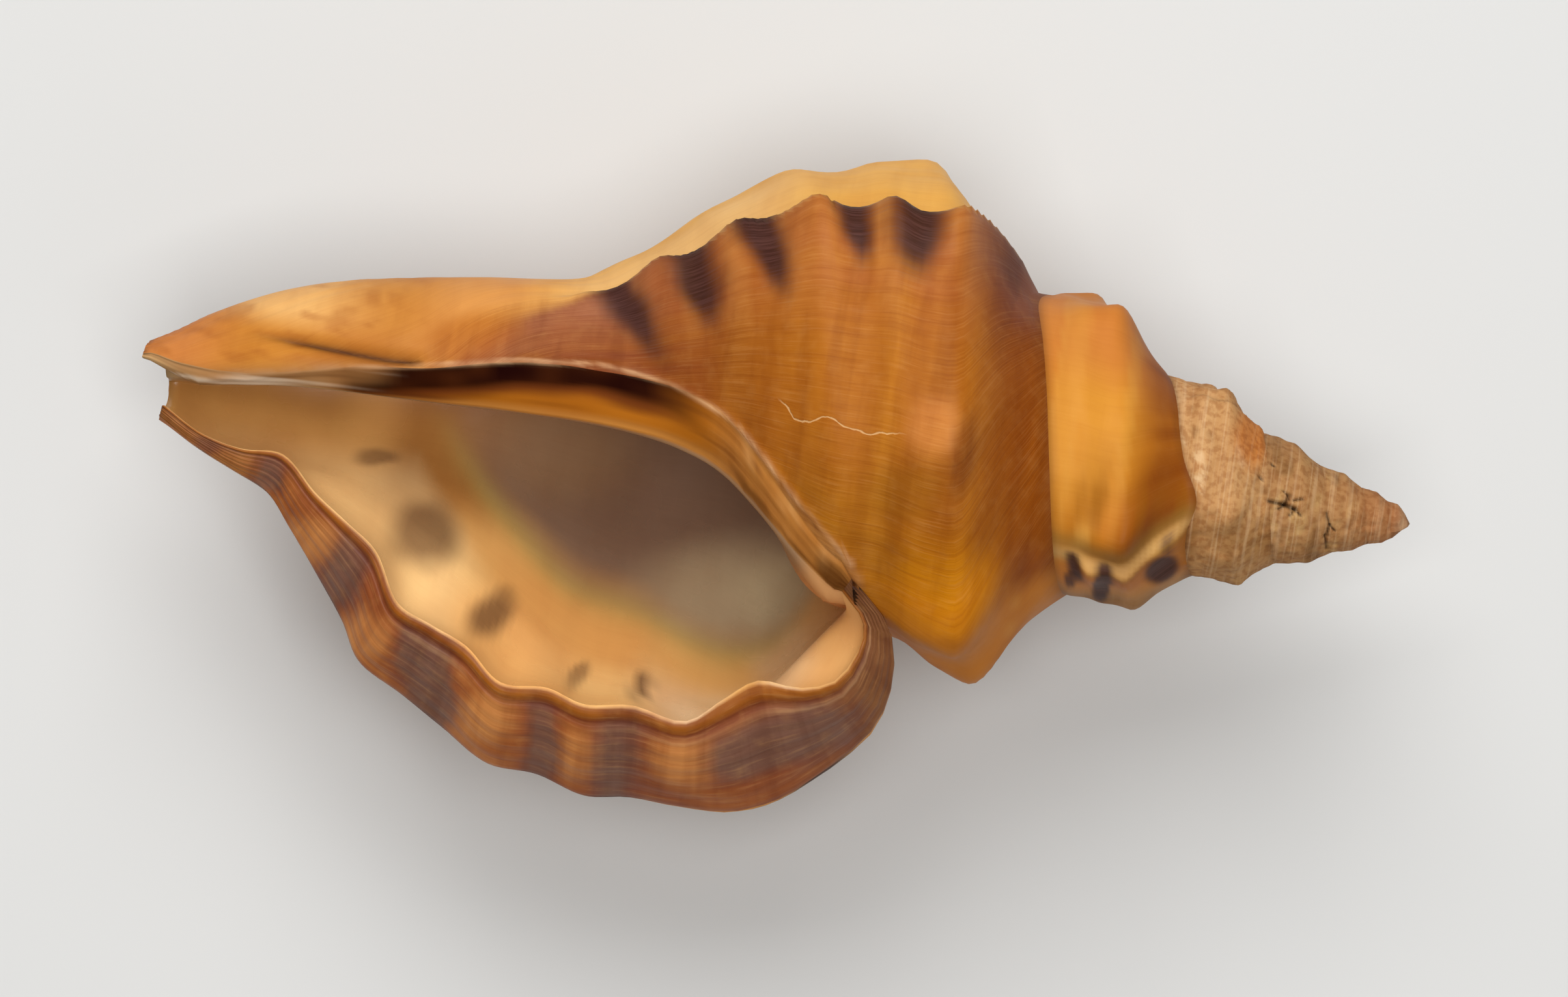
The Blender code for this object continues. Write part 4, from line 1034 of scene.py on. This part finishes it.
def shell_material():
    """Markings too fine for the painted corners, with the crack, the worn chalk, the gloss and the bump."""
    material = bpy.data.materials.new("shell_look")
    nodes = Nodes(material)
    field, ranged, mixed = nodes.field, nodes.ranged, nodes.mixed
    times, plus, minus = nodes.times, nodes.plus, nodes.minus
    grown = field("run"), field("pitch")
    bars, lines, worn, gloss = field("bars"), field("lines"), field("worn"), field("gloss")
    nodes.feed(ranged(gloss, -0.3, 1.0, 0.0, 0.45), nodes.surface.inputs["Specular IOR Level"])
    where = nodes.add("TexCoord").outputs["Object"]
    growth = nodes.flow(grown, 1.0, 0.05, 5.0, 0.3)
    fine_growth = nodes.flow(grown, 4.0, 0.2)
    striae = nodes.flow(grown, 0.04, 0.42, 5.0, 0.2)
    mottle = nodes.noise(where, 620.0, 4.0)
    cloud = nodes.noise(where, 130.0, 3.0)

    colour = field("tint", "Color")
    for line, low, high, strength, code, blend in (
        (growth, 0.56, 0.3, 0.22, "#b9825c", "MULTIPLY"),
        (fine_growth, 0.52, 0.72, 0.1, "#e8b070", "MIX"),
        (fine_growth, 0.48, 0.3, 0.2, "#b48058", "MULTIPLY"),
        (striae, 0.58, 0.34, 0.28, "#ab7650", "MULTIPLY"),
    ):
        drawn = times(ranged(line, low, high), lines)
        colour = mixed(times(drawn, strength), colour, code, blend)
    colour = mixed(ranged(cloud, 0.35, 0.7, 0.0, 0.14), colour, "#c98f62", "MULTIPLY")
    fleck = times(ranged(mottle, 0.45, 0.75, 0.0, 0.06), lines)
    colour = mixed(fleck, colour, "#e0a860")
    grit = nodes.noise(where, 1500.0, 3.0)
    grain = times(ranged(grit, 0.6, 0.34, 0.0, 0.45), worn)
    colour = mixed(grain, colour, "#bd9670", "MULTIPLY")
    chalk = times(ranged(nodes.flow(grown, 0.05, 2.4, 3.0, 0.3), 0.48, 0.7, 0.0, 0.22), worn)
    colour = mixed(chalk, colour, "#dcbc92")
    wavering = plus(field("crack"), times(minus(mottle, 0.5), 0.9))
    crack = times(ranged(nodes.maths("ABSOLUTE", wavering), 0.13, 0.03), field("cracked"))
    colour = mixed(times(crack, 0.45), colour, "#f0c890")
    broken = plus(bars, times(minus(fine_growth, 0.5), 0.35))
    in_bar = times(ranged(broken, 0.05, 0.95, 0.0, 0.95), ranged(bars, 0.02, 0.2))
    bar_colour = mixed(ranged(fine_growth, 0.36, 0.68), "#301a17", "#472b28")
    nodes.feed(mixed(in_bar, colour, bar_colour), nodes.surface.inputs["Base Color"])

    rough = plus(ranged(cloud, 0.3, 0.7, 0.4, 0.52), times(worn, 0.25))
    nodes.feed(minus(rough, times(gloss, 0.2)), nodes.surface.inputs["Roughness"])
    lined = minus(plus(times(growth, 0.5), times(fine_growth, 0.35)), times(crack, 0.5))
    height = plus(times(lined, lines), times(mottle, 0.18))
    height = plus(height, times(times(mottle, worn), 1.2))
    bump = nodes.add("Bump", {"Height": height, "Distance": 0.00016, "Strength": 0.6})
    nodes.feed(bump.outputs[0], nodes.surface.inputs["Normal"])
    return material


def painted(p):
    """The colour of each corner, laid on in coats."""
    colour = np.tile(linear("#b9702c"), (len(p.x), 1))

    def coat(code, amount):
        colour[:] += np.clip(amount, 0, 1)[:, None] * (linear(code) - colour)

    for paint in (paint_body, paint_strip, paint_spire, paint_lip, paint_inside, paint_columella):
        paint(p, coat)
    return np.column_stack([colour, np.ones(len(p.x))])


def material_fields(p):
    """What the material needs to know of each corner."""
    late = ease(p.grown, 61, 64) * fade(p.grown, 110, 180) * (p.angle > CORNER_ANGLE)
    plain = (1 - 0.6 * late) * (1 - 0.75 * ease(p.early, 44, 60))
    lines = np.where(p.crest, 0.4 * ease(p.x, -74, -70), 0.12)
    lines = np.where(p.outside, 0.8 * plain, np.where(p.band, 1.0, lines))
    shown = p.outside * ease(p.z, 5, 9)
    off_crack = (p.y - curve(p.x, CRACK)) * (0.75 + 0.25 * ease(p.x, -63, -60))
    return {
        "run": p.run,
        "pitch": p.pitch,
        "bars": np.maximum(varix_bars(p), lip_bars(p) * p.outside),
        "lines": lines,
        "worn": p.outside * ease(p.early, 410, 520),
        "gloss": p.inside * 1.0 + 0.3 * p.band - 0.3 * p.crest,
        "crack": np.clip(off_crack, -3, 3),
        "cracked": shown * ease(p.x, -65.6, -64.6) * fade(p.x, -53.6, -52.4),
    }


def face_outwards(mesh):
    """Turns every face of the closed surface outwards."""
    turned = bmesh.new()
    turned.from_mesh(mesh)
    bmesh.ops.recalc_face_normals(turned, faces=turned.faces)
    if turned.calc_volume(signed=True) < 0:
        bmesh.ops.reverse_faces(turned, faces=turned.faces)
    turned.to_mesh(mesh)
    turned.free()


def add_object(name, data):
    made = bpy.data.objects.new(name, data)
    bpy.context.scene.collection.objects.link(made)
    return made


def make_shell(material):
    surface = shell_surface()
    p = Places(surface)
    faces = surface.cleaned()
    used, number = np.unique(surface.stands, return_inverse=True)
    points = surface.points[used]
    mesh = bpy.data.meshes.new("tiger_triton")
    mesh.from_pydata((points * MM).tolist(), [], [number[face].tolist() for face in faces])
    corners = np.concatenate([np.array(face, int) for face in faces])
    for name, values in material_fields(p).items():
        layer = mesh.attributes.new(name, "FLOAT", "CORNER")
        layer.data.foreach_set("value", values[corners].astype(np.float32))
    layer = mesh.attributes.new("tint", "FLOAT_COLOR", "CORNER")
    layer.data.foreach_set("color", painted(p)[corners].astype(np.float32).ravel())
    face_outwards(mesh)
    normals = np.empty(len(points) * 3, np.float32)
    mesh.vertices.foreach_get("normal", normals)
    points = points + fine_relief(p)[used][:, None] * normals.reshape(-1, 3)
    points = points + np.array([*FRAME_SHIFT, REST_DEPTH])
    points[:, 2] = np.maximum(points[:, 2], 0.0)
    mesh.vertices.foreach_set("co", (points * MM).ravel().astype(np.float32))
    mesh.update()
    mesh.shade_smooth()
    mesh.materials.append(material)
    return add_object("tiger_triton", mesh)


def make_floor():
    mesh = bpy.data.meshes.new("floor")
    corners = [(x * FLOOR_HALF, y * FLOOR_HALF, 0) for x, y in ((-1, -1), (1, -1), (1, 1), (-1, 1))]
    mesh.from_pydata(corners, [], [(0, 1, 2, 3)])
    material = bpy.data.materials.new("floor_look")
    nodes = Nodes(material)
    nodes.feed(FLOOR_COLOUR, nodes.surface.inputs["Base Color"])
    nodes.feed(FLOOR_ROUGHNESS, nodes.surface.inputs["Roughness"])
    mesh.materials.append(material)
    return add_object("floor", mesh)


def make_camera():
    """Straight above the shell, far off, so that the picture has hardly any perspective."""
    camera = bpy.data.cameras.new("camera")
    camera.lens = LENS
    camera.sensor_width = SENSOR_WIDTH
    camera.clip_end = SIGHT
    holder = add_object("camera", camera)
    distance = PICTURE_WIDTH * LENS / camera.sensor_width
    holder.location = (PICTURE_MIDDLE[0] * MM, PICTURE_MIDDLE[1] * MM, (REST_DEPTH + distance) * MM)
    holder.rotation_euler = (0.0, 0.0, np.radians(PICTURE_TILT))
    bpy.context.scene.camera = holder


def make_light(name, place, size, power):
    """A soft square light, aimed at the shell."""
    lamp = bpy.data.lights.new(name, "AREA")
    lamp.shape = "SQUARE"
    lamp.size = size
    lamp.energy = power
    light = add_object(name, lamp)
    light.location = place
    light.rotation_euler = (Vector(LIT_PLACE) - Vector(place)).to_track_quat("-Z", "Y").to_euler()


def make_world():
    world = bpy.data.worlds.new("world")
    world.use_nodes = True
    background = world.node_tree.nodes["Background"]
    background.inputs["Color"].default_value = WORLD_COLOUR
    background.inputs["Strength"].default_value = WORLD_STRENGTH
    bpy.context.scene.world = world


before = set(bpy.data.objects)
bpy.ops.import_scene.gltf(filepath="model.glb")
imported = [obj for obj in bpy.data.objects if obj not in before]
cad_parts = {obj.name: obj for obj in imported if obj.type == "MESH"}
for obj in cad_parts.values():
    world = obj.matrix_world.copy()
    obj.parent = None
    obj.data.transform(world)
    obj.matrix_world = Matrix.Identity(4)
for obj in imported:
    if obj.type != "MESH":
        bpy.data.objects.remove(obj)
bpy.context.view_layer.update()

shell = make_shell(shell_material())
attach(shell, "root")
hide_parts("shell")

make_floor()
make_camera()
for light in LIGHTS:
    make_light(*light)
make_world()
bpy.context.scene.view_settings.view_transform = "Standard"
